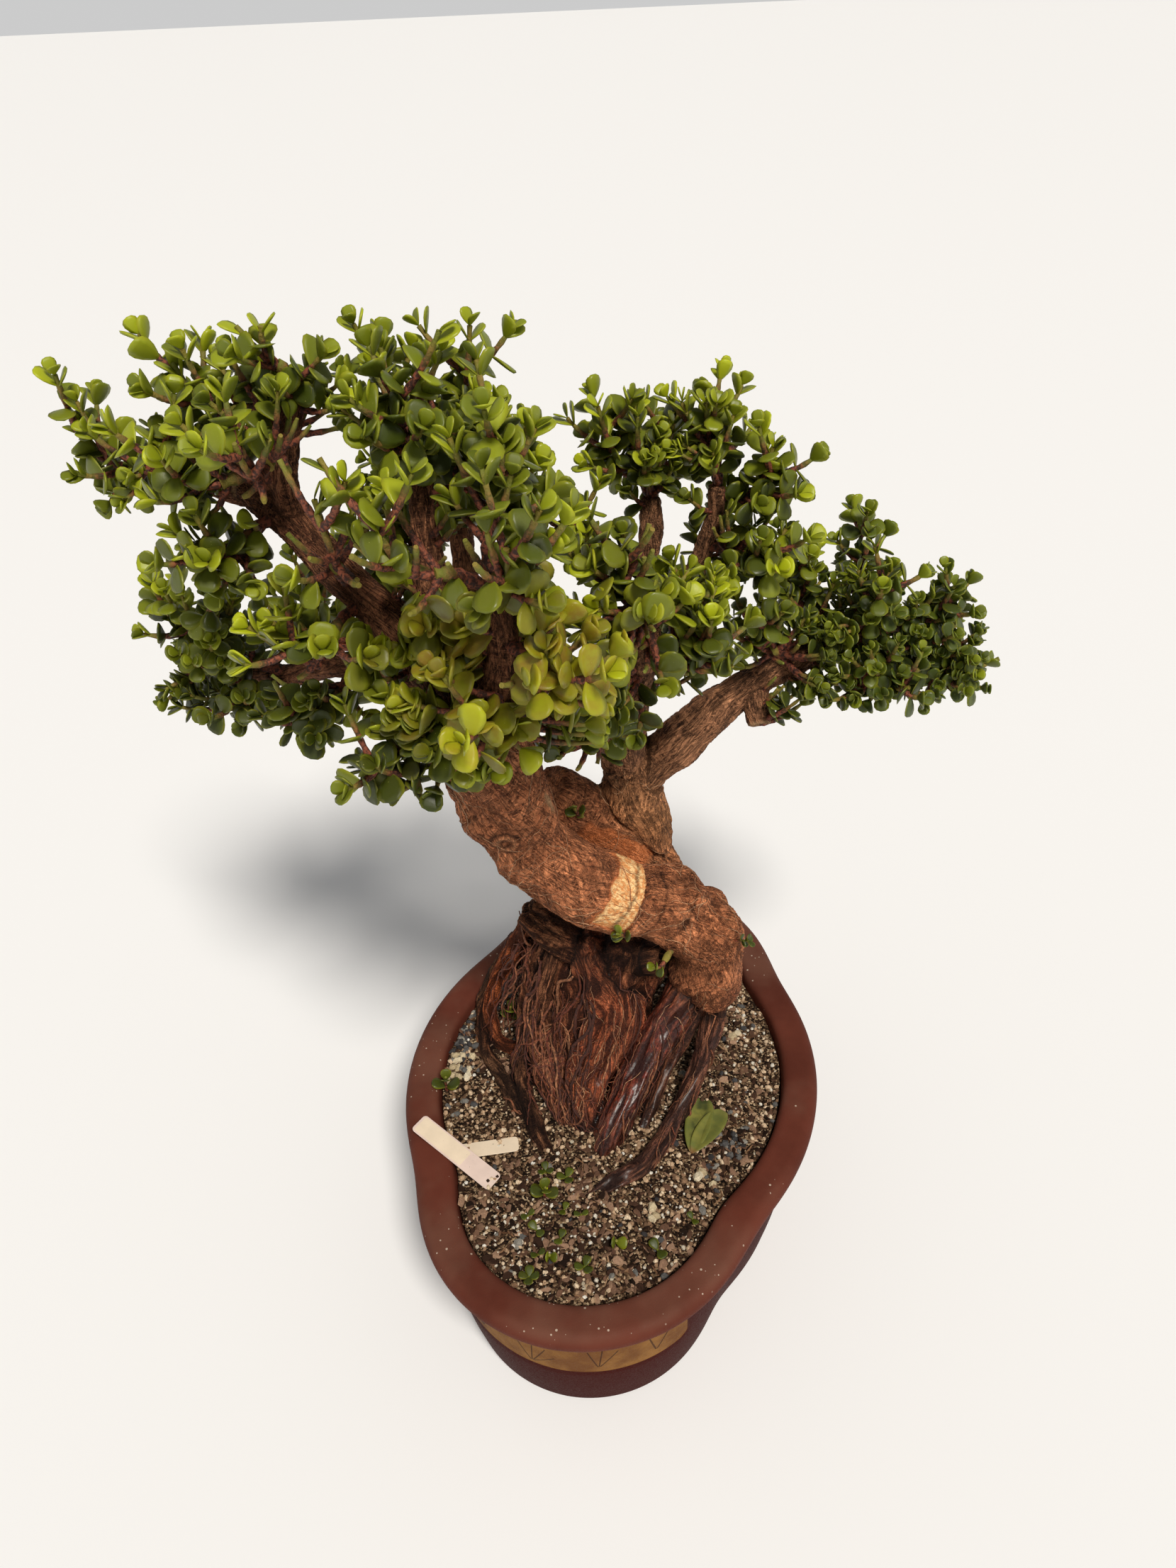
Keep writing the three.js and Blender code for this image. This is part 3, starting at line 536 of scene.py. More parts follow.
def sampleRuns():  # sections of every run, with the distance along it
    samples = {key: [] for key in ("point", "tangent", "side", "back", "radius", "along", "run")}
    for number, (name, run) in enumerate(allRuns.items()):
        length = lengthOf(lines[name])
        steps = math.ceil(length / woodPlan["sampleStep"])
        for i, ring in enumerate(ringFrames(lines[name], steps)):
            for key in ("point", "tangent", "side", "back"):
                samples[key].append(ring[key])
            samples["radius"].append(radiusAlong(run, i / steps))
            samples["along"].append(length * i / steps)
            samples["run"].append(number)
    return {key: np.array(values, float) for key, values in samples.items()}


samples = sampleRuns()


def tubeOf(name):  # a closed tube along a run
    numbers = np.flatnonzero(samples["run"] == runNames.index(name))
    turns = np.arange(woodPlan["sides"]) * 2 * math.pi / woodPlan["sides"]
    side, back = samples["side"][numbers][:, None], samples["back"][numbers][:, None]
    spoke = side * np.cos(turns)[None, :, None] + back * np.sin(turns)[None, :, None]
    rings = samples["point"][numbers][:, None] + spoke * samples["radius"][numbers][:, None, None]
    return loft(rings, samples["point"][numbers[0]], samples["point"][numbers[-1]])


def ballOf(x, y, z, radius, sides=24):
    levels = [math.pi * i / (sides // 2) for i in range(1, sides // 2)]
    turns = [2 * math.pi * i / sides for i in range(sides)]
    rings = [[(x + radius * math.sin(a) * math.cos(b), y + radius * math.sin(a) * math.sin(b),
               z + radius * math.cos(a)) for b in turns] for a in levels]
    return loft(rings, (x, y, z + radius), (x, y, z - radius))


def nearestRun(points, kept):  # nearest sample on the kept runs, and the distance to every run's skin
    starts = np.searchsorted(samples["run"], np.arange(len(allRuns)))
    other = ~np.isin(samples["run"], [runNames.index(name) for name in kept])
    nearest, gaps = [], []
    for first in range(0, len(points), 4000):
        part = points[first:first + 4000]
        square = (part ** 2).sum(1)[:, None] + (samples["point"] ** 2).sum(1) - 2 * part @ samples["point"].T
        depth = np.sqrt(np.maximum(square, 0)) - samples["radius"]
        gaps.append(np.minimum.reduceat(depth, starts, axis=1))
        depth[:, other] = np.inf
        nearest.append(depth.argmin(1))
    return np.concatenate(nearest), np.concatenate(gaps)


def noiseAt(points, size, shift=0):
    return np.array([noise.noise(Vector(p)) for p in (points / size + shift).tolist()])


def easeOver(values, low, high):  # 0 below low, 1 above high, and smooth between
    t = np.clip((values - low) / (high - low), 0, 1)
    return t * t * (3 - 2 * t)


def hump(values, width):  # 1 at nought, and fades over the width
    return np.exp(-(values / width) ** 2)


def normalsOf(mesh):
    normals = np.zeros(len(mesh.vertices) * 3, np.float32)
    mesh.vertex_normals.foreach_get("vector", normals)
    return normals.reshape(-1, 3).astype(float)


def marksOn(points, normals, along, run, gaps):  # bare, dark and pale shares, and the change of height
    bare, dark, pale, height = (np.zeros(len(points)) for _ in range(4))
    wander = noiseAt(points, 9, 3)
    onRun = {name: run == runNames.index(name) for name in allRuns}
    band, strip = barkMarks["band"], barkMarks["strip"]
    facing = easeOver(normals @ np.array(band["facing"]) / np.linalg.norm(band["facing"]), 0.3, 0.55)
    end = band["to"] + band["ragged"] * wander
    inside = easeOver(along, band["from"], band["from"] + 1) * (1 - easeOver(along, end - 5, end + 5))
    bare += onRun[band["run"]] * facing * inside
    inside = easeOver(along, strip["from"], strip["from"] + 8)
    inside = inside * (1 - easeOver(along, strip["to"] - 8, strip["to"]))
    kneeGap = gaps[:, runNames.index("knee")] + 3 * wander
    beside = 1 - easeOver(kneeGap, strip["gap"] - 2, strip["gap"] + 1)
    bare += strip["share"] * onRun[strip["run"]] * inside * beside
    for place in barkMarks["creases"]:
        line = hump(along - place + 1.5 * wander, barkMarks["creaseWidth"]) * onRun["knee"] * facing
        dark += 0.8 * line
        height -= 0.5 * line
    for x, y, z, size in barkMarks["knots"]:
        away = np.linalg.norm(points - (x, y, z), axis=1) + 1.6 * wander
        height += 1.5 * hump(away - size, 2.0) - 1.6 * hump(away, 0.45 * size)
        dark += 0.9 * hump(away - 0.55 * size, 1.2) + 0.9 * hump(away - 1.6 * size, 1.3)
        pale += 0.3 * hump(away - size, 1.3) + 0.3 * hump(away, 1.3)
    for x, y, z, size in barkMarks["holes"]:
        away = np.linalg.norm(points - (x, y, z), axis=1)
        height -= 3.5 * hump(away, size)
        # painted shade inside the hole
        dark += 1.6 * hump(away, 1.4 * size)
    for x, y, z, halfWidth, halfLength in barkMarks["scars"]:
        offset = points - (x, y, z)
        upDown = offset @ samples["tangent"][np.abs(samples["point"] - (x, y, z)).sum(1).argmin()]
        aside = np.sqrt(np.maximum((offset ** 2).sum(1) - upDown ** 2, 0))
        pale += np.exp(-((aside / halfWidth) ** 2 + (upDown / halfLength) ** 2) ** 2)
    for name in barkMarks["cuts"]:
        length = samples["along"][samples["run"] == runNames.index(name)].max()
        pale += 0.8 * onRun[name] * easeOver(along, length - 3, length - 1)
    return np.clip(np.stack([bare, dark, pale], 1), 0, 1), height


def joinedParts(parts):  # one list of points and one of faces
    points, faces = [], []
    for partPoints, partFaces in parts:
        faces += [tuple(i + len(points) for i in face) for face in partFaces]
        points += partPoints
    return points, faces


def blendedSkin(name, plan):  # tubes and balls run together and smoothed
    parts = [tubeOf(run) for run in plan["runs"]] + [ballOf(*ball) for ball in plan["burls"]]
    points, faces = joinedParts(parts)
    skin = makeObject("wood_" + name, points, faces=faces)
    remesh = skin.modifiers.new("oneBody", "REMESH")
    remesh.mode = "VOXEL"
    remesh.voxel_size = plan["face"] * mm
    soften = skin.modifiers.new("soften", "SMOOTH")
    soften.iterations = plan["smoothing"]
    return applyModifiers(skin)


def buildSkin(name, plan):
    skin = blendedSkin(name, plan)
    mesh = skin.data
    points, normals = pointsOf(mesh), normalsOf(mesh)
    nearest, gaps = nearestRun(points, plan["runs"])
    offset = points - samples["point"][nearest]
    local = [np.einsum("ij,ij->i", offset, samples[key][nearest]) for key in ("side", "back", "tangent")]
    along = samples["along"][nearest] + local[2]
    run = samples["run"][nearest].astype(int)
    folds = np.array([runTones.get(name, [0, 0])[1] for name in allRuns])[run]
    trunk = np.array([name not in rootRuns for name in allRuns])[run]
    turn = np.arctan2(local[1], local[0])
    height = sum(h * noiseAt(points, size) for size, h in woodPlan["lumps"])
    wander = 2.5 * noiseAt(points, 40, 7)
    fold = np.sin(folds * turn + along / woodPlan["foldLength"] + wander)
    height += woodPlan["flutes"] * samples["radius"][nearest] * fold
    wound = turn + plan["twist"] * along
    across = np.hypot(local[0], local[1])
    relief = np.zeros(len(points))
    for spacing, stretch, high in woodPlan["ridges"]:
        drawn = np.stack([across * np.cos(wound), across * np.sin(wound), along * stretch + 60 * run], 1)
        relief += high * (0.6 - 2.4 * np.abs(noiseAt(drawn, spacing)))
    height += plan["ridge"] * relief
    spacing, depth = woodPlan["rings"]
    rings = trunk * np.maximum(0, np.sin(along * 2 * math.pi / spacing + 3 * wander)) ** 4
    height -= depth * rings
    relief -= 0.7 * rings * (0.5 + noiseAt(points, 14, 5))
    for x, y, z, reach, rise in plan["swells"]:
        height += rise * np.exp(-((points - (x, y, z)) ** 2).sum(1) / reach ** 2)
    marks, change = marksOn(points, normals, along, run, gaps)
    nearTwo = np.sort(gaps, axis=1)[:, :2]
    # painted shade: the roots are darkened in the hollows where two runs lie close
    hollowShade = (1 - easeOver(nearTwo[:, 1] - nearTwo[:, 0], 0, woodPlan["hollowShade"])) * ~trunk
    # the wood is painted darker towards the soil
    darkNearSoil = 0.5 * (1 - easeOver(points[:, 2], *woodPlan["darkNearSoil"]))
    marks[:, 1] = np.clip(marks[:, 1] + hollowShade + darkNearSoil, 0, 1)
    height = height * (1 - (1 - woodPlan["bareRelief"]) * marks[:, 0]) + change
    setPoints(mesh, points + normals * height[:, None])
    weights = np.exp(-(gaps - gaps.min(1)[:, None]) / woodPlan["blend"])
    weights /= weights.sum(1)[:, None]
    addAttributes(mesh, {
        "tone": weights @ np.array([toneOf(name) for name in allRuns]),
        "marks": marks,
        "grain": np.stack([local[0], local[1], along + 37 * run], 1) * mm,
        "gloss": weights @ np.array([runTones.get(name, [0, 0, 0])[2] for name in allRuns]),
        "rooty": np.full(len(points), float(name == "roots")),
        "relief": relief})
    shadeSmooth(mesh)
    return skin


def makeBark():
    material, tree, shader = startMaterial("fibrous bark", Specular_IOR_Level=0.16, Coat_Roughness=0.3)
    grain, tone, marks = (readAttribute(tree, name, "Vector") for name in ("grain", "tone", "marks"))
    gloss, relief, rooty = (readAttribute(tree, name) for name in ("gloss", "relief", "rooty"))
    bare, dark, pale = split(marks)
    place = objectPlace(tree)

    def strand(twist, scale, stretch, width, across=1.0):
        return placeGroup(fibres, Grain=grain, Twist=twist, Scale=scale, Stretch=stretch, Across=across,
                          Width=width)
    # painted shade: the sunken valleys of the relief, strongest on the roots
    sunk = times(spread(relief, 0.25, -0.3, 0.0, 0.97), spread(rooty, 0, 1, 0.35, 1.0))
    left, right = strand(36.0, 420.0, 0.2, 0.045), strand(-40.0, 380.0, 0.2, 0.045)
    straight, rounds = strand(6.0, 330.0, 0.11, 0.05), strand(0.0, 330.0, 1.0, 0.05, 0.16)
    coarse, fine = strand(-8.0, 125.0, 0.15, 0.11), strand(-8.0, 270.0, 0.12, 0.08)
    bands, rounded = strand(22.0, 150.0, 0.14, 0.09), strand(0.0, 120.0, 1.4, 0.08, 0.14)
    patches, crumbs = mottled(place, 34.0, 0.12), mottled(place, 300.0, 0.07)
    blotches = mottled(place, 75.0, 0.12)
    grooves = largest(times(coarse, rooty), times(fine, 0.8))
    lengthwise = largest(straight, times(right, 0.5))
    strands = plus(times(largest(left, right), patches), times(lengthwise, minus(1.0, patches)))
    strands = largest(strands, times(rounds, 0.6))
    shaded = mixColour(0.9, tone, colour(12, 4, 3))
    light = mixColour(0.74, tone, mixColour(0.5, scaled(tone, 3.4), colour(234, 172, 122)))
    base = mixColour(times(minus(1.0, blotches), 0.8), tone, shaded)
    base = mixColour(times(minus(1.0, crumbs), 0.7), base, shaded)
    # painted shade in the relief's valleys and the trunk's ring creases
    base = mixColour(sunk, base, shaded)
    base = mixColour(times(grooves, 0.88), base, shaded)
    rough = minus(1.0, times(gloss, 0.7))
    broad = times(largest(bands, times(rounded, 0.8)), spread(patches, 1.0, 0.0, 0.25, 1.0))
    # painted highlight: the crests of the relief are lightened
    broad = largest(broad, spread(relief, 0.25, 0.6, 0.0, 0.6))
    lightened = largest(times(strands, 0.85), broad)
    lightened = times(lightened, minus(1.0, times(largest(grooves, sunk), 0.9)))
    base = mixColour(times(rough, lightened), base, light)
    planed = mixColour(crumbs, colour(232, 160, 98), colour(255, 210, 150))
    planed = mixColour(times(straight, 0.4), planed, colour(150, 84, 42))
    base = mixColour(bare, base, mixColour(spread(bare, 0.5, 0.8), colour(214, 118, 62), planed))
    base = mixColour(times(pale, 0.8), base, colour(206, 166, 124))
    # dark marks: knot rings and creases, plus painted shade in the hole and in the hollows between roots, and
    # darkening towards the soil
    base = mixColour(times(dark, 0.85), base, colour(24, 12, 8))
    height = plus(minus(strands, grooves), times(crumbs, 0.7))
    height = plus(height, times(bands, 0.7))
    height = times(height, times(rough, spread(bare, 0, 1, 1.0, 0.35)))
    connect(shader, Base_Color=base, Roughness=spread(gloss, 0, 1, 0.9, 0.26),
            Coat_Weight=spread(gloss, 0, 1, 0.0, 0.55), Normal=bump(height, 1.0, 1.1 * mm))
    return material


bark = makeBark()
wood = {}
for name, plan in skins.items():
    wood[name] = finishPiece(buildSkin(name, plan), bark, ["wood"])
    print(name, "skin:", len(wood[name].data.polygons), "faces")

# Leaves and twigs. A leaf is a thick blade with a narrow foot and a broad round tip.
leafPlan = {"sections": 7, "around": 6, "halfWidth": 0.42, "thickness": 0.13, "foot": 0.95, "tip": 0.45,
            "swell": 0.55, "cup": 0.06, "droop": 0.06, "sunk": 0.2}


def bladeOf(sections, around, thickness, foot, tip):  # a blade 1 long, with (across, along, up) at each point
    peak = foot / (foot + tip)
    rings, places = [], []
    for i in range(1, sections):
        u = 0.5 * (1 - math.cos(math.pi * i / sections))
        width = (u / peak) ** foot * ((1 - u) / (1 - peak)) ** tip
        ring = []
        for k in range(around):
            turn = 2 * math.pi * k / around
            across, out = math.cos(turn), math.sin(turn)
            lift = leafPlan["cup"] * across ** 2 * width - leafPlan["droop"] * u ** 2
            swell = out * thickness / 2 * width ** leafPlan["swell"]
            ring.append((u, across * width * leafPlan["halfWidth"], swell + lift))
            places.append((across, u, out))
        rings.append(ring)
    points, faces = loft(rings, (0, 0, 0), (1, 0, -leafPlan["droop"]))
    return np.array(points), faces, places + [(0, 0, 0), (0, 1, 0)]


def makeLeaf():
    points, faces, places = bladeOf(leafPlan["sections"], leafPlan["around"], leafPlan["thickness"],
                                    leafPlan["foot"], leafPlan["tip"])
    return makeRound("leafShape", points / mm, faces, {"leafPlace": places})


def makeLeafyTree():  # leaves on the loose points, and tubes along the edges
    tree, inputs, outputs = makeGroup("leafyTwigs", "GeometryNodeTree", {
        "Geometry": ("Geometry", None), "Leaf": ("Object", None), "Leaf finish": ("Material", None),
        "Twig finish": ("Material", None), "Twig sides": ("Int", 6)}, {"Geometry": "Geometry"})

    def read(name, kind="FLOAT"):
        return addNode(tree, "GeometryNodeInputNamedAttribute", {"Name": name}, data_type=kind).outputs[0]
    apart = addNode(tree, "GeometryNodeSeparateGeometry", {0: inputs["Geometry"], 1: read("isLeaf")})
    shape = addNode(tree, "GeometryNodeObjectInfo", {"Object": inputs["Leaf"], "As Instance": True})
    aim = addNode(tree, "FunctionNodeAlignRotationToVector", {"Vector": read("direction", "FLOAT_VECTOR")},
                  axis="X")
    turn = addNode(tree, "FunctionNodeAlignRotationToVector", {
        "Rotation": aim.outputs[0], "Vector": read("face", "FLOAT_VECTOR")}, axis="Z", pivot_axis="X")
    leaves = addNode(tree, "GeometryNodeInstanceOnPoints", {
        "Points": apart.outputs["Selection"], "Instance": shape.outputs["Geometry"],
        "Rotation": turn.outputs[0], "Scale": read("size", "FLOAT_VECTOR")})
    curves = addNode(tree, "GeometryNodeMeshToCurve", {"Mesh": apart.outputs["Inverted"]})
    ring = addNode(tree, "GeometryNodeCurvePrimitiveCircle", {"Resolution": inputs["Twig sides"]},
                   mode="RADIUS")
    tubes = addNode(tree, "GeometryNodeCurveToMesh", {
        "Curve": curves.outputs[0], "Profile Curve": ring.outputs[0], "Scale": read("thick"),
        "Fill Caps": True})
    joined = addNode(tree, "GeometryNodeJoinGeometry")
    tree.links.new(leaves.outputs[0], joined.inputs[0])
    tree.links.new(tubes.outputs[0], joined.inputs[0])
    whole = addNode(tree, "GeometryNodeRealizeInstances", {0: joined.outputs[0]})
    smooth = addNode(tree, "GeometryNodeSetShadeSmooth", {0: whole.outputs[0]})
    green = addNode(tree, "GeometryNodeSetMaterial", {
        0: smooth.outputs[0], "Material": inputs["Leaf finish"]})
    brown = addNode(tree, "GeometryNodeSetMaterial", {
        0: green.outputs[0], "Selection": read("isTwig"), "Material": inputs["Twig finish"]})
    tree.links.new(brown.outputs[0], outputs["Geometry"])
    return tree


def runTree(obj, tree, values):  # evaluates a node tree on an object and keeps the plain mesh
    modifier = obj.modifiers.new(tree.name, "NODES")
    modifier.node_group = tree
    for item in tree.interface.items_tree:
        if item.in_out == "INPUT" and item.name in values:
            modifier[item.identifier] = values[item.name]
    obj.update_tag()
    bpy.context.view_layer.update()
    return applyModifiers(obj)


# What is already placed, as spheres with the piece that they belong to.
class Crowd:
    def __init__(self, room=90000):
        self.spheres = np.zeros((room, 4))
        self.owner = np.zeros(room, int)
        self.count = 0

    def take(self, owner, place, radius):
        self.spheres[self.count] = (*place, radius)
        self.owner[self.count] = owner
        self.count += 1

    def takeLine(self, owner, line, radiusAt, count):
        for i in range(count + 1):
            self.take(owner, line(i / count), radiusAt(i / count))

    def isFree(self, owner, spheres, ease=1.0):
        others = self.spheres[:self.count]
        for place, radius in spheres:
            reach = (radius + others[:, 3]) * ease + 2 * clearance
            square = ((others[:, :3] - np.array(place)) ** 2).sum(1)
            if np.any((square <= reach ** 2) & (self.owner[:self.count] != owner)):
                return False
        return True


crowd = Crowd()
woodOwner = -1
for name, run in allRuns.items():
    crowd.takeLine(woodOwner, lines[name], lambda t: radiusAlong(run, t) + 0.5, 6 * len(run))


def leafSpheres(leaf):
    return [(leaf["root"] + leaf["direction"] * (along * leaf["length"]), size * leaf["length"])
            for along, size in ((0.32, 0.25), (0.6, 0.38), (0.82, 0.27))]


def leafAt(section, turn, lean, length):
    out = section["side"] * math.cos(turn) + section["back"] * math.sin(turn)
    direction = out * math.sin(lean) + section["tangent"] * math.cos(lean)
    face = section["tangent"] * math.sin(lean) - out * math.cos(lean)
    root = section["point"] - direction * leafPlan["sunk"]
    return {"root": root, "direction": direction, "face": face, "length": length}


def leavesUp(owner, line, roll, plan):  # the same rule as the solids: opposite pairs, a quarter turn apart
    leaves = []
    rings = ringFrames(line, plan["pairs"])
    for pair in range(1, plan["pairs"] + 1):
        section = dict(rings[pair], point=(rings[pair]["point"] + rings[pair - 1]["point"]) / 2)
        last = pair == plan["pairs"]
        base = (pair + 0.5) * math.pi / 2 + (roll() - 0.5) * 0.4
        for opposite in (0, math.pi):
            lean = (0.55 if last else plan.get("leafLean", 1.0)) + (roll() - 0.5) * 0.3
            length = plan["leaf"] * (0.86 if last else 1) * (0.88 + 0.24 * roll())
            for bend in (0, 0.6, -0.6):
                leaf = leafAt(section, base + opposite + bend, lean, length)
                if crowd.isFree(owner, leafSpheres(leaf), plan.get("ease", 1.0)):
                    leaf["age"] = 1 - pair / plan["pairs"]
                    leaves.append(leaf)
                    break
    return leaves


def branchTo(run, along, tip, longest):
    line = lines[run]
    start = line(along)
    aim = tip - start
    reach = min(longest, 0.62 * (aim.length - radiusAlong(allRuns[run], along)))
    lift = (aim.normalized() + upward * 0.35).normalized()
    end = tip - lift * reach
    bend = (start + headingOf(line, along) * 0.22 * aim.length).lerp(end, 0.45)
    return bowed(start, bend, end)


def plantBranches(places, plan):
    seats = []
    for run, along, reachTo in places:
        tip = Vector(reachTo)
        branch = branchTo(run, along, tip, plan["reach"])
        thick = min(radiusAlong(allRuns[run], along) * 0.8, plan["stemRadius"] + lengthOf(branch) * 0.022)
        thin = plan["stemRadius"] * 1.15
        radiusAt = lambda t, thick=thick, thin=thin: thick + (thin - thick) * t
        crowd.takeLine(woodOwner, branch, lambda t: radiusAt(t) + 0.4, 16)
        seats.append({"tip": tip, "branch": branch, "radiusAt": radiusAt, "plan": plan})
    return seats


def growSpray(owner, start, heading, tip, seed, plan):
    line = bowed(start, start + heading * (0.5 * (tip - start).length), tip)
    leaves = leavesUp(owner, line, dice(seed), plan)
    crowd.takeLine(owner, line, lambda t: plan["stemRadius"] + 0.4, 8)
    for leaf in leaves:
        for place, radius in leafSpheres(leaf):
            crowd.take(owner, place, radius)
    return {"line": line, "leaves": leaves, "plan": plan}


# Side twigs, which fill each spray out to the density of a real one.
twigPlan = {
    "spots": [["branch", 0.55], ["branch", 0.9], ["line", 0.28], ["line", 0.55], ["line", 0.82]],
    "length": [20, 34],
    "lean": 0.95,
    "rise": 0.35,
    "pairs": 3,
    "leafLean": 1.2,
    "radius": 1.5,  # of the free space that a twig needs
    "thick": [2.1, 1.2],  # radius at the foot and at the tip
    "ease": 0.62,
    "tipPair": 0.6,  # size of the youngest pair at a tip
    "seed": 5003,
    "step": 13,
}
olderShare = 0.45  # how much older the leaves of shoots, cuttings and seedlings are
# Where the foliage that shades a leaf lies, and how much of it gives the full painted shade.
coverPlan = {"ahead": [0, -8, 34], "reach": 27, "full": 70}
# Twigs that fill the crown between the sprays: centre, reach each way, how many, and leaf length.
crownFills = {
    "centre_left": [[-98, -66, 562], [52, 42, 42], 20, 17],
    "centre": [[-40, -74, 572], [46, 40, 46], 20, 18],
    "centre_right": [[26, -40, 556], [42, 44, 42], 16, 17],
    "upper_centre": [[-45, -48, 628], [46, 40, 24], 10, 16],
    "lower_front": [[-56, -98, 520], [54, 24, 30], 20, 17],
    "low_right": [[10, -48, 500], [42, 34, 32], 16, 16],
    "right_centre": [[60, 22, 524], [36, 44, 42], 14, 15],
    "left_side": [[-222, -8, 528], [58, 54, 46], 26, 15],
    "left_low": [[-256, 16, 470], [52, 48, 32], 18, 14],
    "top_left": [[-158, -36, 676], [48, 44, 28], 20, 16],
    "left_shoulder": [[-204, -34, 642], [40, 44, 34], 16, 16],
    "far_left": [[-290, 14, 616], [28, 34, 28], 10, 14], "top_centre": [[-86, 0, 656], [48, 50, 26], 18, 15],
    "top_right": [[30, 124, 592], [44, 48, 26], 14, 14],
    "right_shoulder": [[76, 106, 560], [38, 40, 32], 14, 14],
    "rear": [[-122, 96, 576], [64, 46, 36], 22, 15], "pad": [[158, 128, 480], [62, 52, 36], 72, 14],
    "pad_front": [[154, 96, 462], [60, 28, 34], 44, 14], "pad_end": [[214, 134, 458], [44, 46, 38], 44, 14],
    "pad_left": [[110, 108, 476], [32, 34, 26], 26, 15],
}
fillPlan = {"length": [24, 38], "pairs": 3, "leafLean": 1.15, "radius": 1.4, "thicken": 0.024, "ease": 0.55,
            "end": [0.9, 0.1], "tipPair": 0.6, "lift": 0.35, "nearest": 14, "farthest": 95, "lowest": 400,
            "owner": 1000, "seed": 8009, "step": 29}
leafSizes = [[[-30, -90, 560], 90, 1.14], [[185, 130, 475], 85, 0.72], [[-260, 10, 500], 90, 0.9]]
# Where no leaf hides a limb from the viewer: limb, from and to along it, and reach.
openLimbs = [["leftLimb", 0.42, 1, 13], ["leftRiser", 0.1, 0.7, 7], ["middleLimb", 0.5, 0.72, 7],
             ["frontLimb", 0.3, 0.6, 8], ["innerLimb", 0.6, 1, 6], ["lowLimb", 0.5, 0.85, 6],
             ["backLimb", 0.75, 1, 6], ["backFork", 0.66, 1, 6], ["rightLimb", 0.3, 0.62, 13]]
openSpots = [[-62, -38, 592, 15], [-168, 20, 640, 12], [-16, 4, 418, 18]]  # clear through


def insideBox(place, margin=1.0):
    low, high = cadBox
    return all(low[i] / mm + margin < place[i] < high[i] / mm - margin for i in range(3))


def openLines():  # a place, the way from it to the viewer, its reach, and whether it is clear behind too
    lanes = []
    for name, first, last, reach in openLimbs:
        lanes += [(lines[name](first + (last - first) * i / 12), reach, 0) for i in range(13)]
    lanes += [(Vector(spot[:3]), spot[3], 1) for spot in openSpots]
    ways = np.array([(viewer - place).normalized() for place, _, _ in lanes])
    return np.array([lane[0] for lane in lanes]), ways, np.array([lane[1:] for lane in lanes])


def isOpen(leaf, lanes):
    places, ways, reaches = lanes
    offset = np.array(leaf["root"] + leaf["direction"] * leaf["length"] * 0.6) - places
    ahead = (offset * ways).sum(1)
    aside = np.sqrt(np.maximum((offset ** 2).sum(1) - ahead ** 2, 0))
    return bool(np.any((aside < reaches[:, 0] + 0.2 * leaf["length"]) & ((ahead > 0) | (reaches[:, 1] > 0))))


def shortenLeaf(leaf):  # keeps a leaf inside the model's own box
    while not all(insideBox(place, 0.9 * radius) for place, radius in leafSpheres(leaf)):
        leaf["length"] *= 0.96
    return leaf


def sizeAt(place):  # leaves are larger at the front of the crown and smaller out on the right
    size = 1
    for centre, reach, share in leafSizes:
        near = math.exp(-((place - Vector(centre)).length / reach) ** 2)
        size *= 1 + (share - 1) * near
    return size


def leavesOnTwig(owner, twig, roll, plan, leafLength):  # opposite pairs and a small pair at the tip
    size = leafLength * sizeAt(twig(1))
    grown = leavesUp(owner, twig, roll, dict(plan, leaf=size))
    end, turn = ringFrames(twig, 2)[-1], 6.3 * roll()
    young = roll()
    for half in (0, math.pi):
        small = leafAt(end, turn + half, 0.5, size * plan["tipPair"])
        small["age"] = 0
        grown.append(small)
    grown = [leaf for leaf in grown if insideBox(leaf["root"] + leaf["direction"] * leaf["length"], 2.5)]
    for leaf in grown:
        leaf["age"] = 0.5 * leaf["age"] + 0.5 * young
        for place, radius in leafSpheres(leaf):
            crowd.take(owner, place, radius)
    crowd.takeLine(owner, twig, lambda t: plan["radius"], 4)
    return grown


def sideTwigs(owner, spray, branch, leafLength, seed):
    roll = dice(seed)
    twigs, leaves = [], []
    for number, (which, t) in enumerate(twigPlan["spots"]):
        section = ringFrames(branch if which == "branch" else spray["line"], 8)[round(t * 8)]
        for opposite in (0, math.pi):
            turn = number * math.pi / 2 + opposite + (roll() - 0.5) * 0.9
            lean = twigPlan["lean"] + (roll() - 0.5) * 0.4
            short, long = twigPlan["length"]
            reach = (short + (long - short) * roll()) * sizeAt(section["point"])
            out = section["side"] * math.cos(turn) + section["back"] * math.sin(turn)
            heading = (out * math.sin(lean) + section["tangent"] * math.cos(lean)).normalized()
            tip = section["point"] + heading * reach + upward * reach * twigPlan["rise"]
            if not insideBox(tip, 8) or not crowd.isFree(owner, [(tip, 3)], 1.0):
                continue
            twig = bowed(section["point"], section["point"] + heading * reach * 0.55, tip)
            twigs.append(twig)
            leaves += leavesOnTwig(owner, twig, roll, twigPlan, leafLength)
    return twigs, leaves


